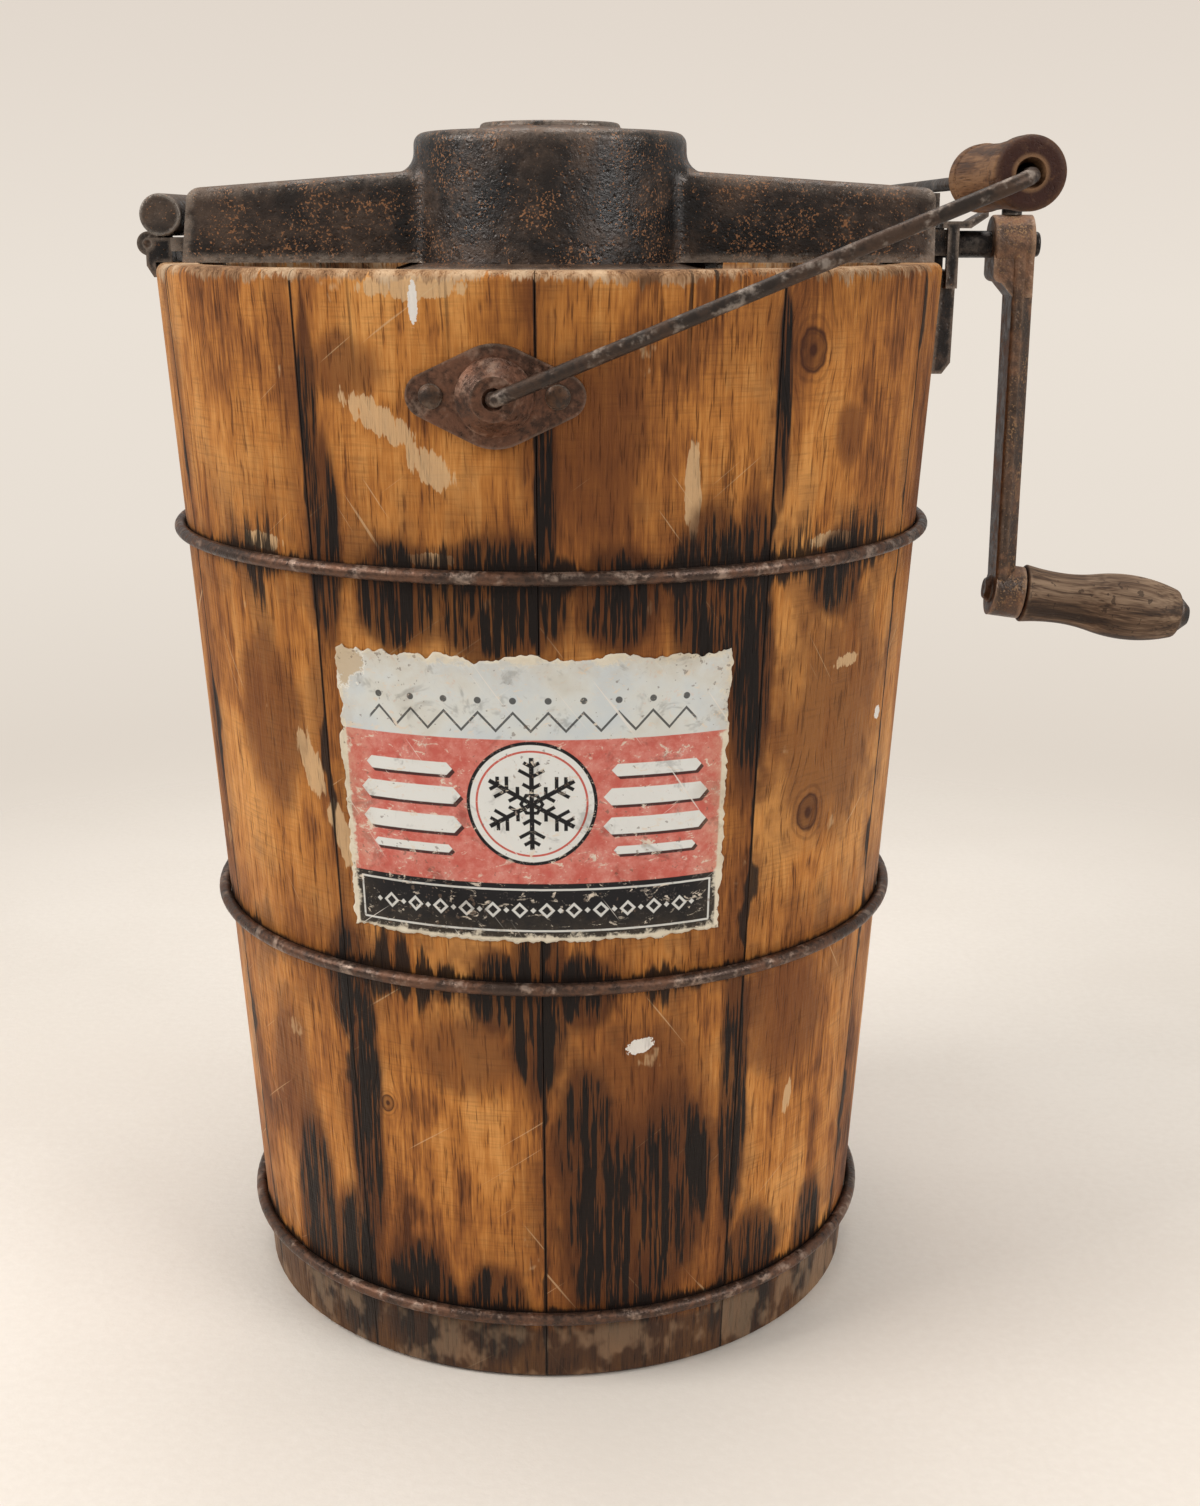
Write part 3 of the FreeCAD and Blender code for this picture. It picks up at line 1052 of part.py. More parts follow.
# Dasher: a square-topped stem with a bar cage, wooden scrapers and slanted paddles
stem = turned("dasher_stem", [
    ("centre_pin_radius + running_play", "stem_low"),
    ("stem_radius", "stem_low"),
    ("stem_radius", "stem_square_from"),
    ("0", "stem_square_from"),
    ("0", "can_low + can_wall + centre_pin_height + 0.4"),
    ("centre_pin_radius + running_play", "can_low + can_wall + centre_pin_height + 0.4"),
])
block(stem, "PartDesign::AdditiveBox", "square_top", ("-stem_square / 2", "stem_square / 2"),
      ("-stem_square / 2", "stem_square / 2"), ("stem_square_from - 1", "stem_high"))
node(stem, "dasher_stem")
cage = doc.addObject("PartDesign::Body", "dasher_cage")
for name, low in (("low_bar", "cage_low"), ("high_bar", "cage_high - cage_bar_thickness")):
    block(cage, "PartDesign::AdditiveBox", name, ("-cage_reach", "cage_reach"),
          ("-cage_bar_width / 2", "cage_bar_width / 2"), (low, f"{low} + cage_bar_thickness"))
    if name == "low_bar":
        for side_name, x in (("left_bar", ("-cage_reach", "cage_bar_thickness - cage_reach")),
                             ("right_bar", ("cage_reach - cage_bar_thickness", "cage_reach"))):
            block(cage, "PartDesign::AdditiveBox", side_name, x,
                  ("-cage_bar_width / 2", "cage_bar_width / 2"), ("cage_low", "cage_high"))
for name, low in (("low_hub", "cage_low"), ("high_hub", "cage_high - cage_hub_height")):
    boss = cage.newObject("PartDesign::AdditiveCylinder", name)
    bind(boss, Radius="cage_hub_radius", Height="cage_hub_height")
    place(boss, z=low)
cage_bore = cage.newObject("PartDesign::SubtractiveCylinder", "stem_hole")
bind(cage_bore, Radius="stem_radius + fit_play", Height="cage_high")
place(cage_bore, z="cage_low - cut_past")
node(cage, "dasher_cage")
scraper_pins = []
for name, side in (("scraper_left", -1), ("scraper_right", 1)):
    scraper = doc.addObject("PartDesign::Body", name)
    slab(scraper, "XZ_Plane", [
        (f"{side} * (cage_reach + scraper_gap)", "scraper_low"),
        (f"{side} * scraper_reach", "scraper_low + scraper_slope"),
        (f"{side} * scraper_reach", "scraper_high - scraper_slope"),
        (f"{side} * (cage_reach + scraper_gap)", "scraper_high"),
    ], "scraper_width")
    for count, level in enumerate((
            "scraper_low + scraper_pin_inset", "(scraper_low + scraper_high) / 2",
            "scraper_high - scraper_pin_inset")):
        middle = f"{side} * (cage_reach + scraper_width / 2)"
        for target in (scraper, cage):
            along_x(target, "PartDesign::SubtractiveCylinder", f"{name}_hole_{count}", "scraper_pin_radius",
                    f"{middle} - 2 * scraper_width", f"{middle} + 2 * scraper_width", level)
        pin = add("Part::Cylinder", f"{name}_pin_{count}", Radius="scraper_pin_radius",
                  Height="scraper_reach - cage_reach + cage_bar_thickness - 2")
        place(pin, f"{side} * (cage_reach - cage_bar_thickness)", "0", level, facing(side, 0, 0))
        scraper_pins.append(pin)
    node(scraper, name)
group("scraper_pins", scraper_pins)
paddles = []
for number in range(round(size("paddle_count"))):
    level = f"(paddle_first + {number} * paddle_step)"
    collar_piece = add("Part::Cylinder", f"paddle_hub_{number}", Radius="paddle_hub_radius",
                       Height="paddle_hub_height")
    place(collar_piece, z=level)
    members = [collar_piece]
    for side in (0, 180):
        blade = add("Part::Box", f"paddle_blade_{number}_{side}", Length="paddle_length",
                    Width="paddle_thickness", Height="paddle_height")
        way = FreeCAD.Rotation(FreeCAD.Vector(0, 0, 1), 60 * number + 60 + side)
        pitch = FreeCAD.Rotation(FreeCAD.Vector(1, 0, 0), size("paddle_pitch"))
        shift = FreeCAD.Vector(size("stem_radius"), -size("paddle_thickness / 2"),
                               -size("paddle_height / 2"))
        middle = FreeCAD.Vector(0, 0, size(f"{level} + paddle_hub_height / 2"))
        blade.Placement = FreeCAD.Placement(middle, way.multiply(pitch)).multiply(
            FreeCAD.Placement(shift, FreeCAD.Rotation()))
        members.append(blade)
    paddle_bore = add("Part::Cylinder", f"paddle_bore_{number}", Radius="stem_radius + fit_play",
                      Height="paddle_hub_height * 3")
    place(paddle_bore, z=f"{level} - paddle_hub_height")
    paddles.append(combine("Part::Cut", f"paddle_{number}",
                           combine("Part::MultiFuse", f"paddle_raw_{number}", *members), paddle_bore))
group("dasher_paddles", paddles)

# Keeper: a flanged strap down the right side with two cheeks and a bridge over the frame's lugs
keeper = doc.addObject("PartDesign::Body", "frame_keeper")
seat_low = tub_radius("keeper_low", "keeper_play")
seat_high = tub_radius("tub_height - rim_round", "keeper_play")
bend_level = "tub_height - rim_round"
slab(keeper, "XZ_Plane", [
    (seat_low, "keeper_low"),
    (f"{seat_low} + keeper_depth - 3", "keeper_low"),
    (f"{seat_low} + keeper_depth", "keeper_low + 4"),
    ("cheek_outer + cheek_root", bend_level),
    (seat_high, bend_level),
], "keeper_width", name="strap")
slab(keeper, "XZ_Plane", [
    (tub_radius("keeper_low + keeper_flange", "keeper_play + keeper_web"), "keeper_low + keeper_flange"),
    ("cheek_outer + keeper_depth", "keeper_low + keeper_flange"),
    ("cheek_outer + keeper_depth", f"{bend_level} - channel_head"),
    (tub_radius(f"{bend_level} - channel_head", "keeper_play + keeper_web"), f"{bend_level} - channel_head"),
], "keeper_width - 2 * keeper_flange", cut=True, name="strap_channel")
block(keeper, "PartDesign::AdditiveBox", "shoulder", ("cheek_inner + cheek_root", "cheek_outer"),
      ("-cheek_side - cheek_thickness", "cheek_side + cheek_thickness"),
      (f"{bend_level} - shoulder_height", bend_level))
for name, low, high in (("front_cheek", "-cheek_side - cheek_thickness", "-cheek_side"),
                        ("rear_cheek", "cheek_side", "cheek_side + cheek_thickness")):
    block(keeper, "PartDesign::AdditiveBox", name, ("cheek_inner + cheek_root", "cheek_outer"), (low, high),
          (f"{bend_level} - shoulder_height", "bridge_low + bridge_thickness"))
block(keeper, "PartDesign::AdditiveBox", "bridge", ("bridge_inner", "bridge_outer"),
      ("-cheek_side - cheek_thickness", "cheek_side + cheek_thickness"),
      ("bridge_low", "bridge_low + bridge_thickness"))
slab(keeper, "XZ_Plane", [
    ("bridge_outer - 1", "bridge_low"),
    ("bridge_outer + 2", "bridge_low"),
    ("arch_reach", "bridge_low + arch_rise"),
    ("arch_reach", "bridge_low + arch_rise + bridge_thickness"),
    ("bridge_outer + 1", "bridge_low + bridge_thickness"),
    ("bridge_outer - 1", "bridge_low + bridge_thickness"),
], "arch_width", name="finger_tab")
bar_level = "ear_level + bail_reach * sin(bail_rest_angle)"
block(keeper, "PartDesign::AdditiveBox", "rest_lug", ("rest_lug_low", "rest_lug_high"),
      ("cheek_side", "cheek_side + cheek_thickness"),
      ("bridge_low + 1", f"{bar_level} - bail_wire_radius - rest_gap"))
keeper_screws = []
for count, level in enumerate(("keeper_screw_low", "keeper_screw_high")):
    seat = tub_radius(level, "keeper_play + keeper_web")
    hole = keeper.newObject("PartDesign::SubtractiveCylinder", f"keeper_hole_{count}")
    bind(hole, Radius="keeper_screw_radius", Height="4 * keeper_web")
    place(hole, tub_radius(level, "-2 * keeper_web"), "0",
          f"({level}) + (keeper_play + 3 * keeper_web) * {wall_lean}", facing(*wall_way))
    keeper_screws.append(headed_pin(f"keeper_screw_{count}", seat, "0", level, wall_way,
                                    "keeper_screw_head", "keeper_screw_height",
                                    "keeper_screw_radius", "keeper_screw_length"))
node(keeper, "frame_keeper")
group("keeper_screws", keeper_screws)

# Latch: a block on the rim with a lip outside, and a lever whose barrel holds the frame's sill
latch = doc.addObject("PartDesign::Body", "latch_base")
lip_face = tub_radius("latch_lip_low", "latch_lip_play")
slab(latch, "XZ_Plane", [
    ("-latch_inner", "tub_height"),
    ("-latch_inner", "latch_block_top"),
    ("-latch_outer", "latch_block_top"),
    ("-latch_outer", "latch_lip_low + 4"),
    (f"-{lip_face} - 1", "latch_lip_low"),
    (f"-{lip_face}", "latch_lip_low"),
    ("-tub_rim_radius - latch_lip_play", "tub_height"),
], "latch_width", name="block")
for name, low, high in (("front_eye", "latch_eye_inset - latch_width / 2", "-latch_slot / 2"),
                        ("rear_eye", "latch_slot / 2", "latch_width / 2 - latch_eye_inset")):
    round_eye = latch.newObject("PartDesign::AdditiveCylinder", name)
    bind(round_eye, Radius="latch_eye_radius", Height=f"({high}) - ({low})")
    place(round_eye, "-latch_pivot_at", low, "latch_pivot_level", facing(0, 1, 0))
block(latch, "PartDesign::SubtractiveBox", "lever_slot",
      ("-latch_outer - 2 * latch_eye_radius", "-latch_pivot_at + latch_eye_radius + slot_back"),
      ("-latch_slot / 2", "latch_slot / 2"),
      ("latch_pivot_level - latch_eye_radius - slot_play", "latch_block_top + 2 * latch_eye_radius"))
latch_bore = latch.newObject("PartDesign::SubtractiveCylinder", "pin_bore")
bind(latch_bore, Radius="latch_pin_radius + fit_play", Height="latch_width + 2")
place(latch_bore, "-latch_pivot_at", "-latch_width / 2 - 1", "latch_pivot_level", facing(0, 1, 0))
latch_screws = []
for count, side in enumerate((-1, 1)):
    spot = ("-(latch_inner + latch_screw_inset)", f"{side} * (latch_width / 2 - latch_screw_inset)")
    hole = latch.newObject("PartDesign::SubtractiveCylinder", f"latch_hole_{count}")
    bind(hole, Radius="latch_screw_radius", Height="latch_block_top - tub_height + 2")
    place(hole, *spot, "tub_height - cut_past")
    shank = add("Part::Cylinder", f"latch_screw_{count}", Radius="latch_screw_radius",
                Height="latch_block_top - tub_height + latch_screw_length")
    place(shank, *spot, "tub_height - latch_screw_length")
    latch_screws.append(shank)
node(latch, "latch_base")
group("latch_screws", latch_screws)
latch_pin = add("Part::Cylinder", "latch_pin", Radius="latch_pin_radius", Height="latch_width")
place(latch_pin, "-latch_pivot_at", "-latch_width / 2", "latch_pivot_level", facing(0, 1, 0))
node(latch_pin, "latch_pin")
lever = doc.addObject("PartDesign::Body", "latch_lever")
barrel = lever.newObject("PartDesign::AdditiveCylinder", "barrel")
bind(barrel, Radius="barrel_radius", Height="barrel_length")
place(barrel, "-barrel_at", "-barrel_length / 2", "barrel_level", facing(0, 1, 0))
soften(lever, barrel, "barrel_round", lambda edge: edge.Curve.TypeId == "Part::GeomCircle",
       "barrel_edges")
knuckle = lever.newObject("PartDesign::AdditiveCylinder", "knuckle")
bind(knuckle, Radius="latch_eye_radius", Height="latch_knuckle")
place(knuckle, "-latch_pivot_at", "-latch_knuckle / 2", "latch_pivot_level", facing(0, 1, 0))
lever_way = FreeCAD.Vector(size("latch_pivot_at - barrel_at"), 0, size("barrel_level - latch_pivot_level"))
web = lever.newObject("PartDesign::AdditiveBox", "web")
bind(web, Length="latch_web", Width="latch_knuckle")
web.Height = lever_way.Length
web_turned = facing(*lever_way)
web_corner = FreeCAD.Vector(-size("latch_pivot_at"), 0, size("latch_pivot_level")) + web_turned.multVec(
    FreeCAD.Vector(-size("latch_web") / 2, -size("latch_knuckle") / 2, 0))
web.Placement = FreeCAD.Placement(web_corner, web_turned)
lever_bore = lever.newObject("PartDesign::SubtractiveCylinder", "lever_bore")
bind(lever_bore, Radius="latch_pin_radius + running_play", Height="latch_width + 2")
place(lever_bore, "-latch_pivot_at", "-latch_width / 2 - 1", "latch_pivot_level", facing(0, 1, 0))
node(lever, "latch_lever")

# Every object has to be sound before anything is written
doc.recompute()
faults = [f"{thing.Name}: {thing.State}" for thing in doc.Objects
          if "Invalid" in thing.State or "Error" in thing.State]
for piece in nodes:
    if piece.Shape.isNull() or not piece.Shape.isValid() or not piece.Shape.Solids:
        faults.append(f"{piece.Label}: shape not sound")
if faults:
    raise SystemExit("\n".join(faults))
os.makedirs("parts", exist_ok=True)
for piece in nodes:
    piece.Shape.exportStep(f"parts/{piece.Label}.step")
    print(f"{piece.Label:24s} {len(piece.Shape.Solids)} solids {piece.Shape.Volume / 1000:9.2f} cm3")
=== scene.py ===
"""Hand crank ice cream freezer, dressed: weathered staves, rusty iron and a worn label."""
import logging
import math
from collections.abc import Callable
from dataclasses import dataclass
from enum import Enum

import bmesh
import bpy
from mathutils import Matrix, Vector, noise


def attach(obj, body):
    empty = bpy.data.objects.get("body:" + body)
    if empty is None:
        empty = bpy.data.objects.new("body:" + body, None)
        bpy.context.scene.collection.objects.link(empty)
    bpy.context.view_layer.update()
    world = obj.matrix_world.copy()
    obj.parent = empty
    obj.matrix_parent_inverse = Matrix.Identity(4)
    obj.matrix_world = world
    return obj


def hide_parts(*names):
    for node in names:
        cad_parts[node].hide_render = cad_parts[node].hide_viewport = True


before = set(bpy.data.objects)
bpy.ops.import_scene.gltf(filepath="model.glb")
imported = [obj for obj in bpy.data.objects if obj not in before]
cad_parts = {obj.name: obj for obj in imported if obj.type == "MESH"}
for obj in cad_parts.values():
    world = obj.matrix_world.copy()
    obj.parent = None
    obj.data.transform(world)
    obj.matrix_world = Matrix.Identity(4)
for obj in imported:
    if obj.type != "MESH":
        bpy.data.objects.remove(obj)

Colour = tuple[float, float, float]
Point = tuple[float, float, float]

# The tub's outside, in metres: its radius at the floor, the gain of radius per metre, its height
FOOT_RADIUS = 0.116
TAPER = 24.0 / 384.8
TUB_HEIGHT = 0.3848

log = logging.getLogger("freezer")


class Body(Enum):
    """The rigid bodies that a new piece can ride on."""

    TUB = "tub"


class Slot(Enum):
    """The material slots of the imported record."""

    LABEL = "paper_label"


class Term:
    """A value inside a shader graph that can be used in sums and products."""

    def __init__(self, graph: "Graph", socket: bpy.types.NodeSocket) -> None:
        """Keep the graph and the socket."""
        self.graph = graph
        self.socket = socket

    def __add__(self, other: "Value") -> "Term":
        """Sum with another value."""
        return self.graph.math("ADD", self, other)

    def __radd__(self, other: "Value") -> "Term":
        """Sum with a number before it."""
        return self.graph.math("ADD", other, self)

    def __sub__(self, other: "Value") -> "Term":
        """Difference from another value."""
        return self.graph.math("SUBTRACT", self, other)

    def __rsub__(self, other: "Value") -> "Term":
        """Difference of a number and it."""
        return self.graph.math("SUBTRACT", other, self)

    def __mul__(self, other: "Value") -> "Term":
        """Product with another value."""
        return self.graph.math("MULTIPLY", self, other)

    def __truediv__(self, other: "Value") -> "Term":
        """Quotient by another value."""
        return self.graph.math("DIVIDE", self, other)

    def __abs__(self) -> "Term":
        """Its size without the sign."""
        return self.graph.math("ABSOLUTE", self)

    def step(self, low: "Value", high: "Value", start: float = 0.0, end: float = 1.0) -> "Term":
        """A smooth step over this value.

        Args:
            low: Where the step starts.
            high: Where the step ends.
            start: The result at and before the start.
            end: The result at and after the end.

        Returns:
            The stepped value.
        """
        made = self.graph.add("ShaderNodeMapRange", interpolation_type="SMOOTHSTEP")
        for socket, number in zip(made.inputs, (self, low, high, start, end)):
            self.graph.feed(socket, number)
        return Term(self.graph, made.outputs[0])


Value = float | Colour | Term
Put = dict[str, Term]
Wires = tuple[Term, ...]


class Graph:
    """A shader node tree while it is being wired."""

    def __init__(self, tree: bpy.types.NodeTree) -> None:
        """Start on an existing tree."""
        self.tree = tree

    def add(self, kind: str, **settings: object) -> bpy.types.Node:
        """Add a node and set its properties.

        Args:
            kind: The node's type name.
            settings: Properties to set on it.

        Returns:
            The new node.
        """
        made = self.tree.nodes.new(kind)
        for name, value in settings.items():
            setattr(made, name, value)
        return made

    def read(self, node: bpy.types.Node, output: int | str = 0) -> Term:
        """One output of a node."""
        return Term(self, node.outputs[output])

    def feed(self, socket: bpy.types.NodeSocket, value: Value) -> None:
        """Link a term to a socket, or set the socket's plain value.

        Args:
            socket: The input to feed.
            value: A term, a number or a colour.
        """
        if isinstance(value, Term):
            self.tree.links.new(value.socket, socket)
        elif socket.type == "RGBA":
            socket.default_value = (*value, 1.0)
        else:
            socket.default_value = value

    def math(self, operation: str, first: Value, second: Value = 0.0) -> Term:
        """One arithmetic step.

        Args:
            operation: The Math node's operation.
            first: The first number.
            second: The second number.

        Returns:
            The result.
        """
        made = self.add("ShaderNodeMath", operation=operation)
        self.feed(made.inputs[0], first)
        self.feed(made.inputs[1], second)
        return self.read(made)

    def most(self, *values: Value) -> Term:
        """The greatest of several values."""
        best = values[0]
        for value in values[1:]:
            best = self.math("MAXIMUM", best, value)
        return best

    def span(self, x: Term, y: Term) -> Term:
        """The length of a flat step."""
        return self.math("SQRT", x * x + y * y)

    def vector(self, operation: str, first: Value, second: Value = (0.0, 0.0, 0.0)) -> Term:
        """One vector step.

        Args:
            operation: The Vector Math node's operation.
            first: The first vector.
            second: The second vector.

        Returns:
            The vector, or the number for a length.
        """
        made = self.add("ShaderNodeVectorMath", operation=operation)
        self.feed(made.inputs[0], first)
        self.feed(made.inputs[1], second)
        return self.read(made, "Value" if operation == "LENGTH" else "Vector")

    def split(self, value: Term) -> tuple[Term, Term, Term]:
        """The three parts of a vector."""
        made = self.add("ShaderNodeSeparateXYZ")
        self.feed(made.inputs[0], value)
        return self.read(made, 0), self.read(made, 1), self.read(made, 2)

    def join(self, x: Value, y: Value, z: Value) -> Term:
        """A vector from three values."""
        made = self.add("ShaderNodeCombineXYZ")
        for socket, value in zip(made.inputs, (x, y, z)):
            self.feed(socket, value)
        return self.read(made)

    def blend(self, factor: Value, first: Value, second: Value, mode: str = "MIX") -> Term:
        """Mix two colours.

        Args:
            factor: Share of the second colour.
            first: The first colour.
            second: The second colour.
            mode: The Mix node's blend type.

        Returns:
            The mixed colour.
        """
        made = self.add("ShaderNodeMix", data_type="RGBA", blend_type=mode)
        for index, value in ((0, factor), (6, first), (7, second)):
            self.feed(made.inputs[index], value)
        return self.read(made, 2)

    def ramp(self, factor: Value, stops: list[tuple[float, Colour]]) -> Term:
        """A colour ramp.

        Args:
            factor: Where to read the ramp.
            stops: Place and colour of each stop.

        Returns:
            The colour.
        """
        made = self.add("ShaderNodeValToRGB")
        points = made.color_ramp.elements
        while len(points) < len(stops):
            points.new(0.5)
        for point, (place, colour) in zip(points, stops):
            point.position = place
            point.color = (*colour, 1.0)
        self.feed(made.inputs[0], factor)
        return self.read(made)

    def noise(self, place: Value, scale: Value, detail: float = 2.0, rough: float = 0.5,
              twist: float = 0.0) -> Term:
        """Fractal noise.

        Args:
            place: Where to read it.
            scale: Its frequency.
            detail: Its octaves.
            rough: The share of each finer octave.
            twist: Its distortion.

        Returns:
            A value around one half.
        """
        made = self.add("ShaderNodeTexNoise")
        for name, value in (("Vector", place), ("Scale", scale), ("Detail", detail),
                            ("Roughness", rough), ("Distortion", twist)):
            self.feed(made.inputs[name], value)
        return self.read(made)

    def cells(self, place: Value, scale: Value) -> Term:
        """Distance to the nearest cell point."""
        made = self.add("ShaderNodeTexVoronoi")
        self.feed(made.inputs["Vector"], place)
        self.feed(made.inputs["Scale"], scale)
        return self.read(made, "Distance")

    def use(self, tree: bpy.types.NodeTree, **values: Value) -> Put:
        """Place a shared group with its own values.

        Args:
            tree: The group.
            values: Inputs by name, with _ for a space.

        Returns:
            The group's outputs by name.
        """
        made = self.add("ShaderNodeGroup", node_tree=tree)
        for name, value in values.items():
            self.feed(made.inputs[name.replace("_", " ").title()], value)
        return {output.name: Term(self, output) for output in made.outputs}

    def mask(self, tree: bpy.types.NodeTree, **values: Value) -> Term:
        """The first output of a shared group with its own values."""
        return next(iter(self.use(tree, **values).values()))

    def bump(self, height: Value, distance: float) -> Term:
        """A bumped normal from a height.

        Args:
            height: The height, from 0 to 1.
            distance: What a height of 1 stands for, in metres.

        Returns:
            The new normal.
        """
        made = self.add("ShaderNodeBump")
        self.feed(made.inputs["Distance"], distance)
        self.feed(made.inputs["Height"], height)
        return self.read(made)


def shared_group(name: str, inputs: dict[str, Value], outputs: tuple[str, ...],
                 wire: Callable[[Graph, Put], Wires]) -> bpy.types.NodeTree:
    """Build a shader group once.

    Args:
        name: The group's name.
        inputs: Default of each input; a triple makes a vector input.
        outputs: Names of the outputs, all plain values.
        wire: Builds the inside and returns one term for each output.

    Returns:
        The group's tree.
    """
    tree = bpy.data.node_groups.new(name, "ShaderNodeTree")
    for label, default in inputs.items():
        kind = "NodeSocketVector" if isinstance(default, tuple) else "NodeSocketFloat"
        made = tree.interface.new_socket(name=label, in_out="INPUT", socket_type=kind)
        made.default_value = default
    for label in outputs:
        tree.interface.new_socket(name=label, in_out="OUTPUT", socket_type="NodeSocketFloat")
    graph = Graph(tree)
    start = graph.add("NodeGroupInput")
    end = graph.add("NodeGroupOutput")
    results = wire(graph, {label: graph.read(start, label) for label in inputs})
    for label, result in zip(outputs, results):
        graph.feed(end.inputs[label], result)
    return tree


class Effects:
    """The effects that several finishes share, each built once."""

    def __init__(self) -> None:
        """Build every shared group."""
        here = {"Position": (0.0, 0.0, 0.0)}
        spot = {"Across": 0.0, "Level": 0.0, "At": 0.0, "Height": 0.0}
        self.edge_wear = shared_group(
            "edge_wear", here | {"Radius": 0.0015, "Breakup": 0.5}, ("Mask",), self.wire_edge_wear)
        self.specks = shared_group(
            "rust_specks", here | {"Scale": 500.0, "Amount": 0.3}, ("Mask",), self.wire_specks)
        self.cast_skin = shared_group(
            "cast_skin", here | {"Scale": 600.0}, ("Height",), self.wire_cast_skin)
        self.fibre = shared_group(
            "wood_fibre", {"Grain": (0.0, 0.0, 0.0)}, ("Tone", "Pore", "Height"), self.wire_fibre)
        self.patch = shared_group(
            "patch", spot | {"Half Width": 0.01, "Half Height": 0.01, "Lean": 0.0}, ("Mask",),
            self.wire_patch)
        self.knot = shared_group(
            "knot", spot | {"Size": 0.005, "Wobble": 0.5}, ("Core", "Rings", "Pull"),
            self.wire_knot)
        self.scratches = shared_group(
            "scratches", here | {"Scale": 600.0, "Amount": 0.3}, ("Mask",), self.wire_scratches)

    @staticmethod
    def wire_edge_wear(graph: Graph, put: Put) -> Wires:
        """Bare outer edges, broken up by noise.

        Args:
            graph: The group's graph.
            put: Its inputs.

        Returns:
            The mask.
        """
        depth = graph.add("ShaderNodeAmbientOcclusion", samples=4, inside=True, only_local=True)
        graph.feed(depth.inputs["Distance"], put["Radius"])
        thin = 1.0 - graph.read(depth, "AO")
        patchy = graph.noise(put["Position"], 190.0, 3.0, 0.7)
        limit = (patchy - 0.5) * put["Breakup"]
        return ((thin + limit).step(0.09, 0.36),)

    @staticmethod
    def wire_specks(graph: Graph, put: Put) -> Wires:
        """Small spots that gather in clusters.

        Args:
            graph: The group's graph.
            put: Its inputs.

        Returns:
            The mask.
        """
        fine = graph.noise(put["Position"], put["Scale"], 2.0, 0.6)
        cluster = graph.noise(put["Position"], put["Scale"] * 0.06, 3.0, 0.65)
        limit = 0.82 - put["Amount"] * cluster.step(0.34, 0.68, 0.5, 1.0)
        return (fine.step(limit, limit + 0.04),)

    @staticmethod
    def wire_cast_skin(graph: Graph, put: Put) -> Wires:
        """The grainy skin of a sand casting.

        Args:
            graph: The group's graph.
            put: Its inputs.

        Returns:
            The height.
        """
        fine = graph.noise(put["Position"], put["Scale"], 3.0, 0.7)
        coarse = graph.noise(put["Position"], put["Scale"] * 0.22, 2.0, 0.5)
        pits = graph.cells(put["Position"], put["Scale"] * 0.5).step(0.0, 0.3, 0.0, 0.25)
        return (fine * 0.45 + coarse * 0.45 + pits,)

    @staticmethod
    def wire_fibre(graph: Graph, put: Put) -> Wires:
        """Fibres and pores of wood; the grain runs along the third coordinate.

        Args:
            graph: The group's graph.
            put: Its inputs.

        Returns:
            The tone, the dark pores and the height.
        """
        broad = graph.noise(put["Grain"], 130.0, 2.0, 0.5, 0.2)
        fine = graph.noise(put["Grain"], 560.0, 2.0, 0.6)
        hair = graph.noise(put["Grain"], 1900.0, 1.0, 0.5)
        tone = broad * 0.34 + (fine * 0.36 + hair * 0.3)
        pore = (fine * 0.5 + hair * 0.5).step(0.44, 0.33)
        height = tone - pore * 0.25
        return tone, pore, height

    @staticmethod
    def wire_patch(graph: Graph, put: Put) -> Wires:
        """A soft oval patch on an unrolled surface.

        Args:
            graph: The group's graph; not used.
            put: Its inputs.

        Returns:
            The mask, 1 in the middle.
        """
        rise = put["Level"] - put["Height"]
        across = put["Across"] - put["At"] - rise * put["Lean"]
        wide = across / put["Half Width"]
        high = rise / put["Half Height"]
        return ((wide * wide + high * high).step(1.0, 0.0),)

    @staticmethod
    def wire_knot(graph: Graph, put: Put) -> Wires:
        """A knot in a board, with the grain that parts round it.

        Args:
            graph: The group's graph.
            put: Its inputs.

        Returns:
            The core, the rings and the sideways pull on the grain.
        """
        across = put["Across"] - put["At"]
        wide = across / put["Size"]
        high = (put["Level"] - put["Height"]) / (put["Size"] * 1.25)
        far = graph.span(wide, high)
        uneven = far + (put["Wobble"] - 0.5) * 0.7
        core = uneven.step(1.05, 0.8)
        edge = abs(uneven - 1.0).step(0.24, 0.0)
        wave = graph.math("SINE", uneven * 9.0).step(0.2, 1.0)
        rings = graph.most(edge, wave * far.step(2.8, 0.7, 0.0, 0.5))
        pull = across * far.step(4.5, 0.0) * 0.85
        heart = core * 0.5 + far.step(0.5, 0.15, 0.0, 0.5)
        return heart, rings, pull

    @staticmethod
    def wire_scratches(graph: Graph, put: Put) -> Wires:
        """Long thin scratches.

        Args:
            graph: The group's graph.
            put: Its inputs.

        Returns:
            The mask.
        """
        across, depth, along = graph.split(put["Position"])
        lines = []
        for lean in (0.62, -0.95):
            beside = across * math.cos(lean) + along * math.sin(lean)
            forward = along * math.cos(lean) - across * math.sin(lean)
            place = graph.join(beside, depth + lean, forward * 0.022)
            lines.append(graph.noise(place, put["Scale"], 2.0, 0.55).step(0.715, 0.75))
        return (graph.most(*lines) * put["Amount"],)


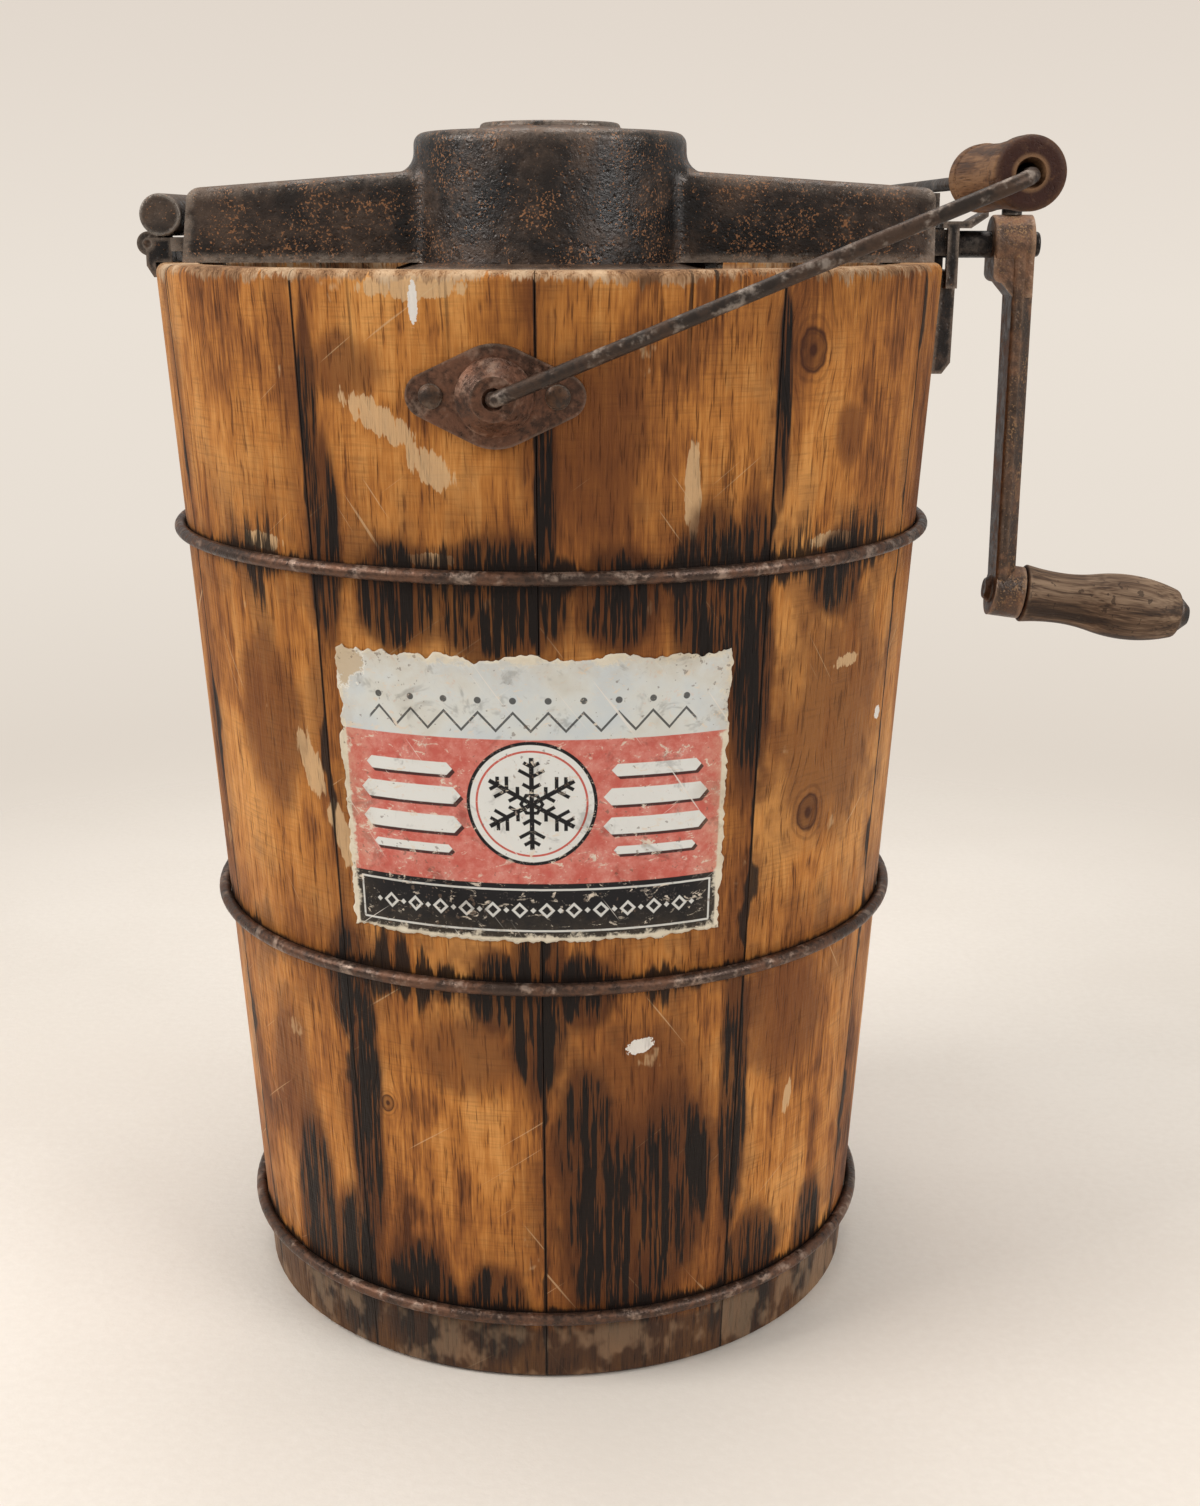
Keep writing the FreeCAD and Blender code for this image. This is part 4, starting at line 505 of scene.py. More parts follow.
class Surface:
    """One material with its Principled shader."""

    def __init__(self, name: str, metallic: float = 0.0, specular: float = 0.5) -> None:
        """Start a material.

        Args:
            name: The material's name.
            metallic: Its metallic value.
            specular: Its specular level.
        """
        self.material = bpy.data.materials.new(name)
        self.material.use_nodes = True
        self.graph = Graph(self.material.node_tree)
        self.shader = self.material.node_tree.nodes["Principled BSDF"]
        self.shader.inputs["Metallic"].default_value = metallic
        self.shader.inputs["Specular IOR Level"].default_value = specular
        self.place = self.graph.read(self.graph.add("ShaderNodeTexCoord"), "Object")
        self.colour: Value = 0.0

    def coat(self, share: Value, colour: Value, mode: str = "MIX") -> None:
        """Lay a colour over what is there by its share."""
        self.colour = self.graph.blend(share, self.colour, colour, mode)

    def finish(self, rough: Value, normal: Term) -> bpy.types.Material:
        """Feed the shader.

        Args:
            rough: The roughness.
            normal: The bumped normal.

        Returns:
            The finished material.
        """
        for name, value in (("Base Color", self.colour), ("Roughness", rough), ("Normal", normal)):
            self.graph.feed(self.shader.inputs[name], value)
        return self.material


@dataclass(frozen=True)
class CastIron:
    """Dark, grainy cast iron with rust specks, a rusty top and worn edges."""

    name: str
    dark: Colour = (0.014, 0.012, 0.0115)
    brown: Colour = (0.058, 0.038, 0.028)
    rust: Colour = (0.36, 0.165, 0.070)
    bare: Colour = (0.34, 0.27, 0.215)
    speck_scale: float = 1250.0
    speck_amount: float = 0.262
    grain_scale: float = 700.0
    edge_radius: float = 0.0039
    edge_share: float = 0.72
    relief: float = 0.00060
    smooth: float = 0.20
    rough: float = 0.50
    haze: Colour = (0.135, 0.082, 0.052)
    haze_share: float = 0.30
    top_share: float = 0.58

    def material(self, effects: Effects) -> bpy.types.Material:
        """Build the material.

        Args:
            effects: The shared groups.

        Returns:
            The material.
        """
        made = Surface(self.name, 0.40, 0.6)
        graph, place = made.graph, made.place
        broad = graph.noise(place, 24.0, 4.0, 0.62, 0.5)
        middle = graph.noise(place, 210.0, 3.0, 0.65)
        made.colour = graph.blend(broad.step(0.38, 0.66), self.dark, self.brown)
        dusty = (broad * 0.5 + middle * 0.5).step(0.48, 0.62) * self.haze_share
        made.coat(dusty, self.haze)
        up = graph.split(graph.read(graph.add("ShaderNodeNewGeometry"), "Normal"))[2]
        settled = (up + (middle - 0.5) * 1.9).step(0.45, 1.0) * self.top_share
        made.coat(settled, self.haze)
        specks = graph.mask(
            effects.specks, position=place, scale=self.speck_scale, amount=self.speck_amount)
        flakes = graph.mask(
            effects.specks, position=place, scale=self.speck_scale * 0.4,
            amount=self.speck_amount * 0.62)
        spots = graph.most(specks, flakes * 0.7)
        made.coat(spots * 0.85, self.rust)
        wear = graph.mask(effects.edge_wear, position=place, radius=self.edge_radius, breakup=0.7)
        worn = wear * self.edge_share
        made.coat(worn, self.bare)
        skin = graph.mask(effects.cast_skin, position=place, scale=self.grain_scale)
        rough = (middle * 0.6 + broad * 0.4).step(0.38, 0.62, self.smooth, self.rough)
        rough = rough + graph.most(spots, settled) * 0.25
        return made.finish(rough, graph.bump(skin, self.relief))


@dataclass(frozen=True)
class WornSteel:
    """Forged or drawn steel, dark with rubbed bright places and rust."""

    name: str
    dark: Colour = (0.060, 0.044, 0.034)
    bright: Colour = (0.34, 0.30, 0.26)
    rust: Colour = (0.17, 0.080, 0.040)
    bright_share: float = 0.5
    rust_share: float = 0.6
    edge_radius: float = 0.0008
    edge_share: float = 0.6
    relief: float = 0.00018
    smooth: float = 0.30
    rough: float = 0.58

    def material(self, effects: Effects) -> bpy.types.Material:
        """Build the material.

        Args:
            effects: The shared groups.

        Returns:
            The material.
        """
        made = Surface(self.name, 0.7, 0.5)
        graph, place = made.graph, made.place
        broad = graph.noise(place, 60.0, 4.0, 0.65, 0.3)
        fine = graph.noise(place, 480.0, 3.0, 0.65)
        rusty = (broad * 0.6 + fine * 0.4).step(0.42, 0.6) * self.rust_share
        made.colour = graph.blend(rusty, self.dark, self.rust)
        rub = graph.noise(place, 130.0, 3.0, 0.6)
        rubbed = (rub * 0.7 + fine * 0.3).step(0.52, 0.66) * self.bright_share
        made.coat(rubbed, self.bright)
        if self.edge_share > 0.0:
            wear = graph.mask(
                effects.edge_wear, position=place, radius=self.edge_radius, breakup=0.8)
            made.coat(wear * self.edge_share, self.bright)
        rough = fine.step(0.3, 0.7, self.smooth, self.rough)
        rough = rough + rusty * 0.15
        return made.finish(rough, graph.bump(fine + broad * 0.5, self.relief))


@dataclass(frozen=True)
class TinPlate:
    """Dull tinned sheet with water marks and a little rust."""

    name: str
    light: Colour = (0.50, 0.50, 0.48)
    dull: Colour = (0.24, 0.23, 0.21)
    rust: Colour = (0.22, 0.11, 0.055)
    rust_share: float = 0.35

    def material(self, effects: Effects) -> bpy.types.Material:
        """Build the material.

        Args:
            effects: The shared groups.

        Returns:
            The material.
        """
        made = Surface(self.name, 0.85, 0.5)
        graph, place = made.graph, made.place
        drips = graph.vector("MULTIPLY", place, (1.0, 1.0, 0.25))
        cloud = graph.noise(drips, 35.0, 5.0, 0.6, 0.6)
        fine = graph.noise(place, 380.0, 3.0, 0.6)
        made.colour = graph.blend(cloud.step(0.35, 0.65), self.light, self.dull)
        specks = graph.mask(effects.specks, position=drips, scale=240.0, amount=self.rust_share)
        made.coat(specks, self.rust)
        scratch = graph.mask(effects.scratches, position=place, scale=700.0, amount=0.5)
        made.coat(scratch, (0.66, 0.66, 0.64))
        rough = cloud.step(0.3, 0.7, 0.32, 0.5) + specks * 0.3
        return made.finish(rough, graph.bump(fine + specks, 0.00008))


@dataclass(frozen=True)
class TurnedWood:
    """Hand-worn turned wood, with its grain along a line."""

    name: str
    start: Point
    droop: float = 0.0
    heading: float = 0.0
    dark: Colour = (0.035, 0.020, 0.013)
    middle: Colour = (0.125, 0.073, 0.043)
    light: Colour = (0.29, 0.195, 0.125)
    end_dark: Colour = (0.042, 0.015, 0.010)
    low_end: float = -1.0
    high_end: float = 1.0
    end_width: float = 0.0012
    bore: float = 0.0
    streak: float = 0.6
    relief: float = 0.00035

    def material(self, effects: Effects) -> bpy.types.Material:
        """Build the material.

        Args:
            effects: The shared groups.

        Returns:
            The material.
        """
        made = Surface(self.name, 0.0, 0.22)
        graph = made.graph
        local = graph.vector("SUBTRACT", made.place, self.start)
        for axis, angle in (("Z_AXIS", -self.heading), ("Y_AXIS", -self.droop)):
            turn = graph.add("ShaderNodeVectorRotate", rotation_type=axis)
            graph.feed(turn.inputs["Vector"], local)
            graph.feed(turn.inputs["Angle"], angle)
            local = graph.read(turn)
        along, side, up = graph.split(local)
        grain = graph.join(side, up, along * 0.05)
        fibre = graph.use(effects.fibre, grain=grain)
        streaks = graph.noise(graph.join(side, up, along * 0.12), 150.0, 4.0, 0.65, 0.6)
        tone = fibre["Tone"] * 0.55 + streaks * 0.45
        made.colour = graph.ramp(
            tone.step(0.36, 0.64), [(0.0, self.dark), (0.5, self.middle), (1.0, self.light)])
        soot = streaks.step(0.5, 0.36) * self.streak
        made.coat(soot, self.dark)
        made.coat(fibre["Pore"] * 0.5, self.dark)
        dirt = graph.mask(effects.specks, position=local, scale=330.0, amount=0.24)
        made.coat(dirt * 0.7, self.dark)
        near_end = graph.most(
            (along - self.low_end).step(self.end_width, 0.0),
            (self.high_end - along).step(self.end_width, 0.0))
        mottled = graph.noise(local, 420.0, 4.0, 0.7)
        end_colour = graph.blend(mottled.step(0.56, 0.74, 0.0, 0.8), self.end_dark, self.middle)
        made.coat(near_end, end_colour)
        if self.bore > 0.0:
            reach = graph.span(side, up)
            lip = reach.step(self.bore + 0.0014, self.bore) * near_end
            made.coat(lip * 0.8, self.light)
        wear = graph.mask(effects.edge_wear, position=local, radius=0.0016, breakup=1.0)
        made.coat(wear * 0.4, self.light)
        rough = tone.step(0.35, 0.65, 0.5, 0.68)
        return made.finish(rough, graph.bump(fibre["Height"], self.relief))


@dataclass(frozen=True)
class Mark:
    """One patch on the tub: bearing in degrees from the front, level and size in metres."""

    bearing: float
    level: float
    wide: float
    high: float
    lean: float = 0.0


@dataclass(frozen=True)
class TubWood:
    """Weathered staves: each with its own grain, iron stains, knots and a bleached rim."""

    name: str = "stave_wood"
    staves: int = 11
    first_joint: float = -0.6
    hoops: tuple[float, ...] = (0.2931, 0.1542, 0.0261)
    deep: Colour = (0.080, 0.026, 0.009)
    russet: Colour = (0.150, 0.048, 0.014)
    warm: Colour = (0.260, 0.090, 0.022)
    amber: Colour = (0.470, 0.180, 0.038)
    honey: Colour = (0.660, 0.300, 0.082)
    bleached: Colour = (0.640, 0.430, 0.235)
    stain: Colour = (0.0085, 0.0068, 0.0062)
    heart: Colour = (0.050, 0.015, 0.007)
    paint: Colour = (0.76, 0.71, 0.65)
    knots: tuple[Mark, ...] = (
        Mark(37.4, 0.3603, 0.0052, 0.0), Mark(43.4, 0.2050, 0.0050, 0.0),
        Mark(-27.1, 0.1043, 0.0024, 0.0), Mark(-118.0, 0.262, 0.0050, 0.0),
        Mark(152.0, 0.118, 0.0056, 0.0))
    brown_marks: tuple[Mark, ...] = (
        Mark(48.0, 0.235, 0.050, 0.062), Mark(-46.0, 0.236, 0.024, 0.045),
        Mark(-26.0, 0.356, 0.018, 0.015), Mark(6.0, 0.333, 0.026, 0.044),
        Mark(46.0, 0.332, 0.010, 0.016), Mark(42.0, 0.130, 0.034, 0.034),
        Mark(-12.0, 0.128, 0.028, 0.022), Mark(14.0, 0.100, 0.046, 0.056),
        Mark(-50.0, 0.100, 0.018, 0.050), Mark(110.0, 0.160, 0.060, 0.060),
        Mark(-150.0, 0.230, 0.060, 0.050), Mark(175.0, 0.090, 0.050, 0.040))
    dark_marks: tuple[Mark, ...] = (
        Mark(13.0, 0.060, 0.032, 0.056), Mark(21.0, 0.076, 0.020, 0.050),
        Mark(6.0, 0.096, 0.014, 0.036), Mark(-1.5, 0.148, 0.013, 0.050),
        Mark(-7.0, 0.152, 0.014, 0.020), Mark(6.0, 0.152, 0.014, 0.018),
        Mark(-31.0, 0.302, 0.009, 0.046), Mark(-6.0, 0.286, 0.030, 0.027),
        Mark(10.0, 0.286, 0.018, 0.022), Mark(24.0, 0.284, 0.020, 0.038),
        Mark(30.0, 0.268, 0.012, 0.066), Mark(33.0, 0.345, 0.004, 0.046),
        Mark(-32.0, 0.345, 0.005, 0.040), Mark(-20.0, 0.286, 0.020, 0.024),
        Mark(-31.5, 0.100, 0.009, 0.084), Mark(-33.5, 0.148, 0.012, 0.030),
        Mark(31.5, 0.105, 0.008, 0.074), Mark(-46.0, 0.046, 0.016, 0.056),
        Mark(-37.0, 0.032, 0.016, 0.044), Mark(-23.0, 0.026, 0.020, 0.036),
        Mark(-9.0, 0.026, 0.016, 0.026), Mark(38.0, 0.028, 0.018, 0.038),
        Mark(0.5, 0.318, 0.005, 0.040), Mark(46.0, 0.287, 0.018, 0.020),
        Mark(54.0, 0.030, 0.014, 0.034), Mark(-131.5, 0.095, 0.013, 0.076),
        Mark(-122.0, 0.038, 0.024, 0.050), Mark(130.3, 0.250, 0.011, 0.066),
        Mark(163.0, 0.284, 0.018, 0.044), Mark(-164.2, 0.048, 0.016, 0.052),
        Mark(97.6, 0.120, 0.009, 0.066), Mark(-98.8, 0.330, 0.007, 0.048),
        Mark(174.0, 0.286, 0.024, 0.026), Mark(112.0, 0.028, 0.022, 0.034))
    pale_marks: tuple[Mark, ...] = (
        Mark(-21.5, 0.341, 0.011, 0.012, -1.2), Mark(-14.5, 0.327, 0.009, 0.011, -0.7),
        Mark(-16.0, 0.380, 0.024, 0.005, 0.0), Mark(-31.5, 0.200, 0.006, 0.020, -0.4),
        Mark(-37.0, 0.225, 0.006, 0.018, -0.3), Mark(50.0, 0.256, 0.010, 0.0035, 0.5),
        Mark(20.0, 0.318, 0.004, 0.024, 0.0), Mark(44.0, 0.096, 0.003, 0.010, 0.2),
        Mark(44.0, 0.299, 0.016, 0.004, 0.0), Mark(-43.0, 0.299, 0.014, 0.004, 0.0),
        Mark(-15.0, 0.298, 0.012, 0.003, 0.0), Mark(138.0, 0.330, 0.016, 0.005, 0.6),
        Mark(-140.0, 0.205, 0.014, 0.005, -0.5))
    paint_marks: tuple[Mark, ...] = (
        Mark(-15.7, 0.3755, 0.0020, 0.0085, 0.0), Mark(14.6, 0.1307, 0.0060, 0.0040, 0.5),
        Mark(62.4, 0.2317, 0.0034, 0.0034, 0.0))

    def masks(self, graph: Graph, tool: bpy.types.NodeTree, marks: tuple[Mark, ...], across: Term,
              level: Term) -> Term:
        """The greatest of several patches.

        Args:
            graph: The material's graph.
            tool: The patch group.
            marks: The patches.
            across: Distance round the tub from the front.
            level: Height above the floor.

        Returns:
            The joined mask.
        """
        found = []
        for mark in marks:
            middle = FOOT_RADIUS + TAPER * mark.level
            found.append(
                graph.mask(
                    tool, across=across, level=level, at=math.radians(mark.bearing) * middle,
                    height=mark.level, half_width=mark.wide, half_height=mark.high, lean=mark.lean))
        return graph.most(*found)

    def material(self, effects: Effects) -> bpy.types.Material:
        """Build the material.

        Args:
            effects: The shared groups.

        Returns:
            The material.
        """
        made = Surface(self.name, 0.0, 0.16)
        graph = made.graph
        x, y, level = graph.split(made.place)
        reach = graph.span(x, y)
        bearing = graph.math("ARCTAN2", x, y * -1.0)
        across = bearing * reach
        share = 2.0 * math.pi / self.staves
        count = (bearing - math.radians(self.first_joint)) / share
        number = graph.math("FLOOR", count)
        number = graph.math("FLOORED_MODULO", number, float(self.staves))
        inside = graph.math("FRACT", count) - 0.5
        local = inside * share * reach
        seed = graph.math("FRACT", graph.math("SINE", number * 12.9898 + 3.1) * 437.58)
        # Knots part the grain before it is read
        wobble = graph.noise(graph.join(across, level, 0.0), 140.0, 2.0, 0.5)
        core, rings, pull = 0.0, 0.0, 0.0
        for knot in self.knots:
            middle = FOOT_RADIUS + TAPER * knot.level
            spot = graph.use(
                effects.knot, across=across, level=level, at=math.radians(knot.bearing) * middle,
                height=knot.level, size=knot.wide, wobble=wobble)
            core = graph.most(core, spot["Core"])
            rings = graph.most(rings, spot["Rings"])
            pull = pull + spot["Pull"]
        drift = graph.noise(graph.join(number * 5.3, level * 5.0, 0.0), 1.0, 2.0, 0.5)
        side = local - pull + drift * 0.007
        side = side + number * 0.37
        grain = graph.join(side, reach + seed * 3.0, level * 0.03)
        fibre = graph.use(effects.fibre, grain=grain)
        tone = fibre["Tone"]
        # Clouds of tone, and wide bands of growth that lean and close into arches
        cloud = graph.noise(graph.join(across, level * 0.45, number * 2.0), 15.0, 4.0, 0.6)
        mottle = graph.noise(graph.join(across, level * 0.6, seed * 9.0), 75.0, 3.0, 0.6)
        figure = graph.noise(graph.join(side, seed * 7.0, level * 0.2), 24.0, 2.0, 0.5)
        bands = graph.math("SINE", figure * 60.0 + side * 300.0)
        feather = graph.noise(graph.join(across, seed, level * 0.035), 820.0, 2.0, 0.6)
        mix = (cloud - 0.5) * 2.5 + (mottle - 0.5) * 1.0
        mix = mix + ((tone - 0.5) * 1.35 + (feather - 0.5) * 0.55)
        mix = mix + (bands * 0.035 + (seed - 0.5) * 0.16)
        made.colour = graph.ramp(
            mix + 0.57,
            [(0.08, self.deep), (0.36, self.warm), (0.6, self.amber), (0.92, self.honey)])
        brown = self.masks(graph, effects.patch, self.brown_marks, across, level)
        brown = (brown * 0.8 + (mottle - 0.5) * 1.2).step(0.1, 0.75) * 0.78
        made.coat(brown, self.russet)
        from_hoop = abs(level - self.hoops[0])
        for hoop in self.hoops[1:]:
            from_hoop = graph.math("MINIMUM", from_hoop, abs(level - hoop))
        edge = (0.5 - abs(inside)) * (reach * share)
        worked_in = graph.most(
            from_hoop.step(0.04, 0.002, 0.0, 0.74), edge.step(0.014, 0.0, 0.0, 0.74))
        worked_in = worked_in * mottle.step(0.38, 0.6, 0.15, 1.0)
        made.coat(worked_in, self.russet)
        made.coat(fibre["Pore"] * 0.6, self.deep)
        # Faint saw marks across the grain
        saw = graph.noise(graph.join(across * 0.045, seed * 3.0, level), 1100.0, 2.0, 0.6)
        sawn = saw.step(0.46, 0.66) * mottle.step(0.42, 0.62, 0.04, 0.22)
        made.coat(sawn, self.deep)
        made.coat(core * 0.95, self.heart)
        made.coat(rings * 0.9, self.heart)
        # Pale rubbed places with ragged edges along the grain
        ragged = graph.noise(graph.join(across, level * 0.17, seed), 430.0, 3.0, 0.7)
        pale = self.masks(graph, effects.patch, self.pale_marks, across, level)
        pale = (pale * 0.85 + (ragged - 0.5) * 2.1).step(0.4, 0.54) * pale.step(0.0, 0.15)
        loose = (graph.noise(graph.join(across, level * 0.7, 4.0), 42.0, 4.0, 0.7).step(0.655, 0.7)
                 * ragged.step(0.42, 0.56))
        pale = graph.most(pale, loose * 0.6)
        made.coat(pale * 0.74, self.bleached)
        scratch = graph.mask(
            effects.scratches, position=graph.join(across, seed, level), scale=560.0, amount=0.5)
        made.coat(scratch, self.bleached)
        # Iron stains bleed from the hoops, the joints and in patches, in streaks along the grain
        streak = graph.noise(graph.join(across, seed, level * 0.055), 300.0, 4.0, 0.78)
        slow = graph.noise(graph.join(across, seed, level * 0.5), 21.0, 3.0, 0.6)
        bleed_length = 0.0026 + streak.step(0.36, 0.7) * slow.step(0.43, 0.66, 0.04, 1.0) * 0.034
        hoop_stain = from_hoop.step(bleed_length, bleed_length * 0.45)
        joint_damp = graph.noise(graph.join(number * 3.7, 0.0, level), 20.0, 3.0, 0.6)
        joint_width = 0.0007 + joint_damp.step(0.5, 0.7) * streak.step(0.32, 0.68, 0.3, 1.0) * 0.011
        joint_stain = edge.step(joint_width, joint_width * 0.4)
        patch = self.masks(graph, effects.patch, self.dark_marks, across, level)
        soaked = (patch + (mottle - 0.5) * 0.9).step(0.0, 0.6, 0.0, 0.8)
        made.coat(soaked, self.deep)
        near = patch.step(0.0, 0.12)
        spikes = (streak * 0.55 + feather * 0.45).step(0.39, 0.61)
        patch = patch * (0.26 + spikes * 0.94)
        patch = patch + (mottle - 0.5) * 0.7
        patch = patch.step(0.38, 0.66) * near
        stained = graph.most(hoop_stain * 0.93, joint_stain * 0.92, patch * 0.96)
        made.coat(stained, self.stain)
        halo = (patch * 0.3 + slow * 0.9).step(0.56, 0.8, 0.0, 0.28)
        made.coat(halo, self.stain)
        # Old paint spots
        paint = self.masks(graph, effects.patch, self.paint_marks, across, level)
        paint_edge = graph.noise(graph.join(across, level, 0.0), 700.0, 3.0, 0.7)
        paint = (paint + (paint_edge - 0.5) * 1.9).step(0.36, 0.46) * paint.step(0.02, 0.2)
        made.coat(paint, self.paint)
        # The rim is rubbed pale along its edge and split, the foot is grey with dirt
        rim_low = TUB_HEIGHT - 0.0034 + ((ragged - 0.5) * 0.012 + (slow - 0.5) * 0.016)
        rim = level.step(rim_low, rim_low + 0.0014)
        rim_tone = graph.ramp(
            (tone * 0.5 + mottle * 0.5).step(0.38, 0.62),
            [(0.0, (0.13, 0.066, 0.032)), (0.45, (0.34, 0.2, 0.105)), (1.0, (0.58, 0.42, 0.27))])
        made.coat(rim * 0.84, rim_tone)
        splits = graph.noise(graph.join(side, seed, level * 0.02), 300.0, 1.0, 0.5).step(0.3, 0.25)
        splits = splits * level.step(TUB_HEIGHT - 0.04, TUB_HEIGHT - 0.004)
        made.coat(splits * 0.8, self.stain)
        foot = level.step(0.026, 0.018, 0.0, 0.8)
        foot_tone = graph.blend(mottle.step(0.46, 0.58), (0.03, 0.022, 0.018), (0.19, 0.125, 0.078))
        made.coat(foot, foot_tone)
        # Inside, the wood is grey-brown and salt stained; near the rim the inner wall is painted
        # lighter tan, painted light as if falling from above
        wall = FOOT_RADIUS - 0.007 + level * TAPER
        inner = reach.step(wall, wall - 0.003) * level.step(TUB_HEIGHT - 0.002, TUB_HEIGHT - 0.006)
        salt_stain_and_painted_rim_light = graph.blend(slow.step(0.4, 0.65), (0.13, 0.085, 0.052), (0.3, 0.235, 0.175))
        # Painted light: the top of the inner wall turns tan towards the rim, as if lit from above
        salt_stain_and_painted_rim_light = graph.blend(level.step(TUB_HEIGHT - 0.045, TUB_HEIGHT - 0.012), salt_stain_and_painted_rim_light, rim_tone)
        made.coat(inner * 0.85, salt_stain_and_painted_rim_light)
        # Relief: fibres, splits and saw marks
        height = fibre["Height"] - saw * 0.16
        height = height - splits * 0.9
        rough = (tone * 0.5 + cloud * 0.5).step(0.38, 0.62, 0.6, 0.4)
        rough = rough + graph.most(pale, rim) * 0.2
        return made.finish(rough, graph.bump(height, 0.00075))


@dataclass(frozen=True)
class PrintedPaper:
    """A worn paper label: pale head, red field with an ice crystal, black foot with pin lines."""

    name: str
    width: float
    height: float
    paper: Colour = (0.74, 0.66, 0.52)
    sky: Colour = (0.60, 0.63, 0.63)
    red: Colour = (0.56, 0.125, 0.095)
    worn_red: Colour = (0.66, 0.25, 0.20)
    ink: Colour = (0.018, 0.017, 0.018)
    white: Colour = (0.74, 0.73, 0.69)
    field_top: float = 0.0705
    foot_top: float = 0.0215
    seal_level: float = 0.0490
    seal_radius: float = 0.0190
    bar_middle: float = 0.0405
    bars: tuple[Point, ...] = (
        (0.0600, 0.0150, 0.0021), (0.0510, 0.0175, 0.0029), (0.0410, 0.0175, 0.0029),
        (0.0325, 0.0140, 0.0014))

    def bar(self, graph: Graph, x: Term, y: Term, middle: tuple[float, float],
            half: tuple[float, float], taper: float = 0.9) -> Term:
        """A bar with crisp edges, mirrored to both sides.

        Args:
            graph: The material's graph; not used.
            x: Distance from the label's middle line, without sign.
            y: Height on the label.
            middle: The bar's middle.
            half: Half its length and half its height.
            taper: How much each end slants.

        Returns:
            The mask.
        """
        off_y = abs(y - middle[1])
        off_x = abs(x - middle[0])
        off_x = off_x + off_y * taper
        inside_x = off_x.step(half[0] + 0.0001, half[0] - 0.0001)
        return inside_x * off_y.step(half[1] + 0.0001, half[1] - 0.0001)

    def crystal(self, graph: Graph, x: Term, y: Term) -> Term:
        """A six-armed ice crystal.

        Args:
            graph: The material's graph.
            x: Distance from the seal's middle.
            y: Height from the seal's middle.

        Returns:
            The mask of its lines.
        """
        sixth = math.pi / 3
        reach = graph.span(x, y)
        turn = graph.math("ARCTAN2", y, x) + math.pi / 2
        fold = graph.math("FLOORED_MODULO", turn + sixth / 2, sixth) - sixth / 2
        fold = abs(fold)
        out = reach * graph.math("COSINE", fold)
        off = reach * graph.math("SINE", fold)
        arm = off.step(0.00085, 0.00065) * out.step(0.0158, 0.0156)
        lines = [arm]
        for start, length in ((0.0052, 0.0034), (0.0092, 0.0048), (0.0126, 0.0030)):
            from_start = out - start
            along = from_start * math.cos(sixth) + off * math.sin(sixth)
            beside = abs(off * math.cos(sixth) - from_start * math.sin(sixth))
            branch = beside.step(0.0007, 0.0005) * along.step(length, length - 0.0002)
            lines.append(branch * along.step(-0.0004, 0.0))
        hexagon = abs(out - 0.003)
        lines.append(hexagon.step(0.00065, 0.00045))
        return graph.most(*lines)

    def material(self, effects: Effects) -> bpy.types.Material:
        """Build the material.

        Args:
            effects: The shared groups.

        Returns:
            The material.
        """
        made = Surface(self.name, 0.0, 0.12)
        graph = made.graph
        u, v, _ = graph.split(graph.read(graph.add("ShaderNodeTexCoord"), "UV"))
        x = (u - 0.5) * self.width
        y = v * self.height
        flat = graph.join(x, y, 0.0)
        away = abs(x)
        half = self.width / 2
        fine = graph.noise(flat, 900.0, 3.0, 0.65)
        middle = graph.noise(flat, 150.0, 5.0, 0.7)
        broad = graph.noise(flat, 32.0, 4.0, 0.6)
        # Printed fields
        head = graph.blend(broad.step(0.38, 0.62), self.sky, (0.7, 0.69, 0.63))
        field = graph.blend(middle.step(0.36, 0.64), self.red, self.worn_red)
        made.colour = graph.blend(y.step(self.field_top, self.field_top + 0.0002), field, head)
        peaks = graph.math("PINGPONG", x, 0.0055)
        ridge = peaks * 1.1 + (self.field_top + 0.003)
        crest = abs(y - ridge)
        garland = crest.step(0.00065, 0.00045) * away.step(half - 0.012, half - 0.013)
        dot_x = peaks - 0.0055
        dot_y = y - (self.field_top + 0.013)
        dot = graph.span(dot_x, dot_y)
        garland = graph.most(
            garland, dot.step(0.0012, 0.001) * away.step(half - 0.012, half - 0.013))
        # Shadowed white bars to both sides of the seal
        shadow_x = x - 0.0009
        shade = abs(shadow_x)
        shade_y = y + 0.001
        bars, shades = [], []
        for level, length, thick in self.bars:
            centre = (self.bar_middle, level)
            bars.append(self.bar(graph, away, y, centre, (length, thick)))
            shades.append(self.bar(graph, shade, shade_y, centre, (length, thick)))
        made.coat(graph.most(*shades) * 0.9, self.ink)
        made.coat(graph.most(*bars), self.white)
        # The round seal with its crystal
        seal_y = y - self.seal_level
        seal = graph.span(x, seal_y)
        made.coat(seal.step(self.seal_radius + 0.0022, self.seal_radius + 0.002), self.ink)
        made.coat(seal.step(self.seal_radius + 0.0011, self.seal_radius + 0.0009), self.white)
        inner_ring = abs(seal - (self.seal_radius - 0.0012))
        made.coat(inner_ring.step(0.0004, 0.0003), self.red)
        made.coat(self.crystal(graph, x, seal_y), self.ink)
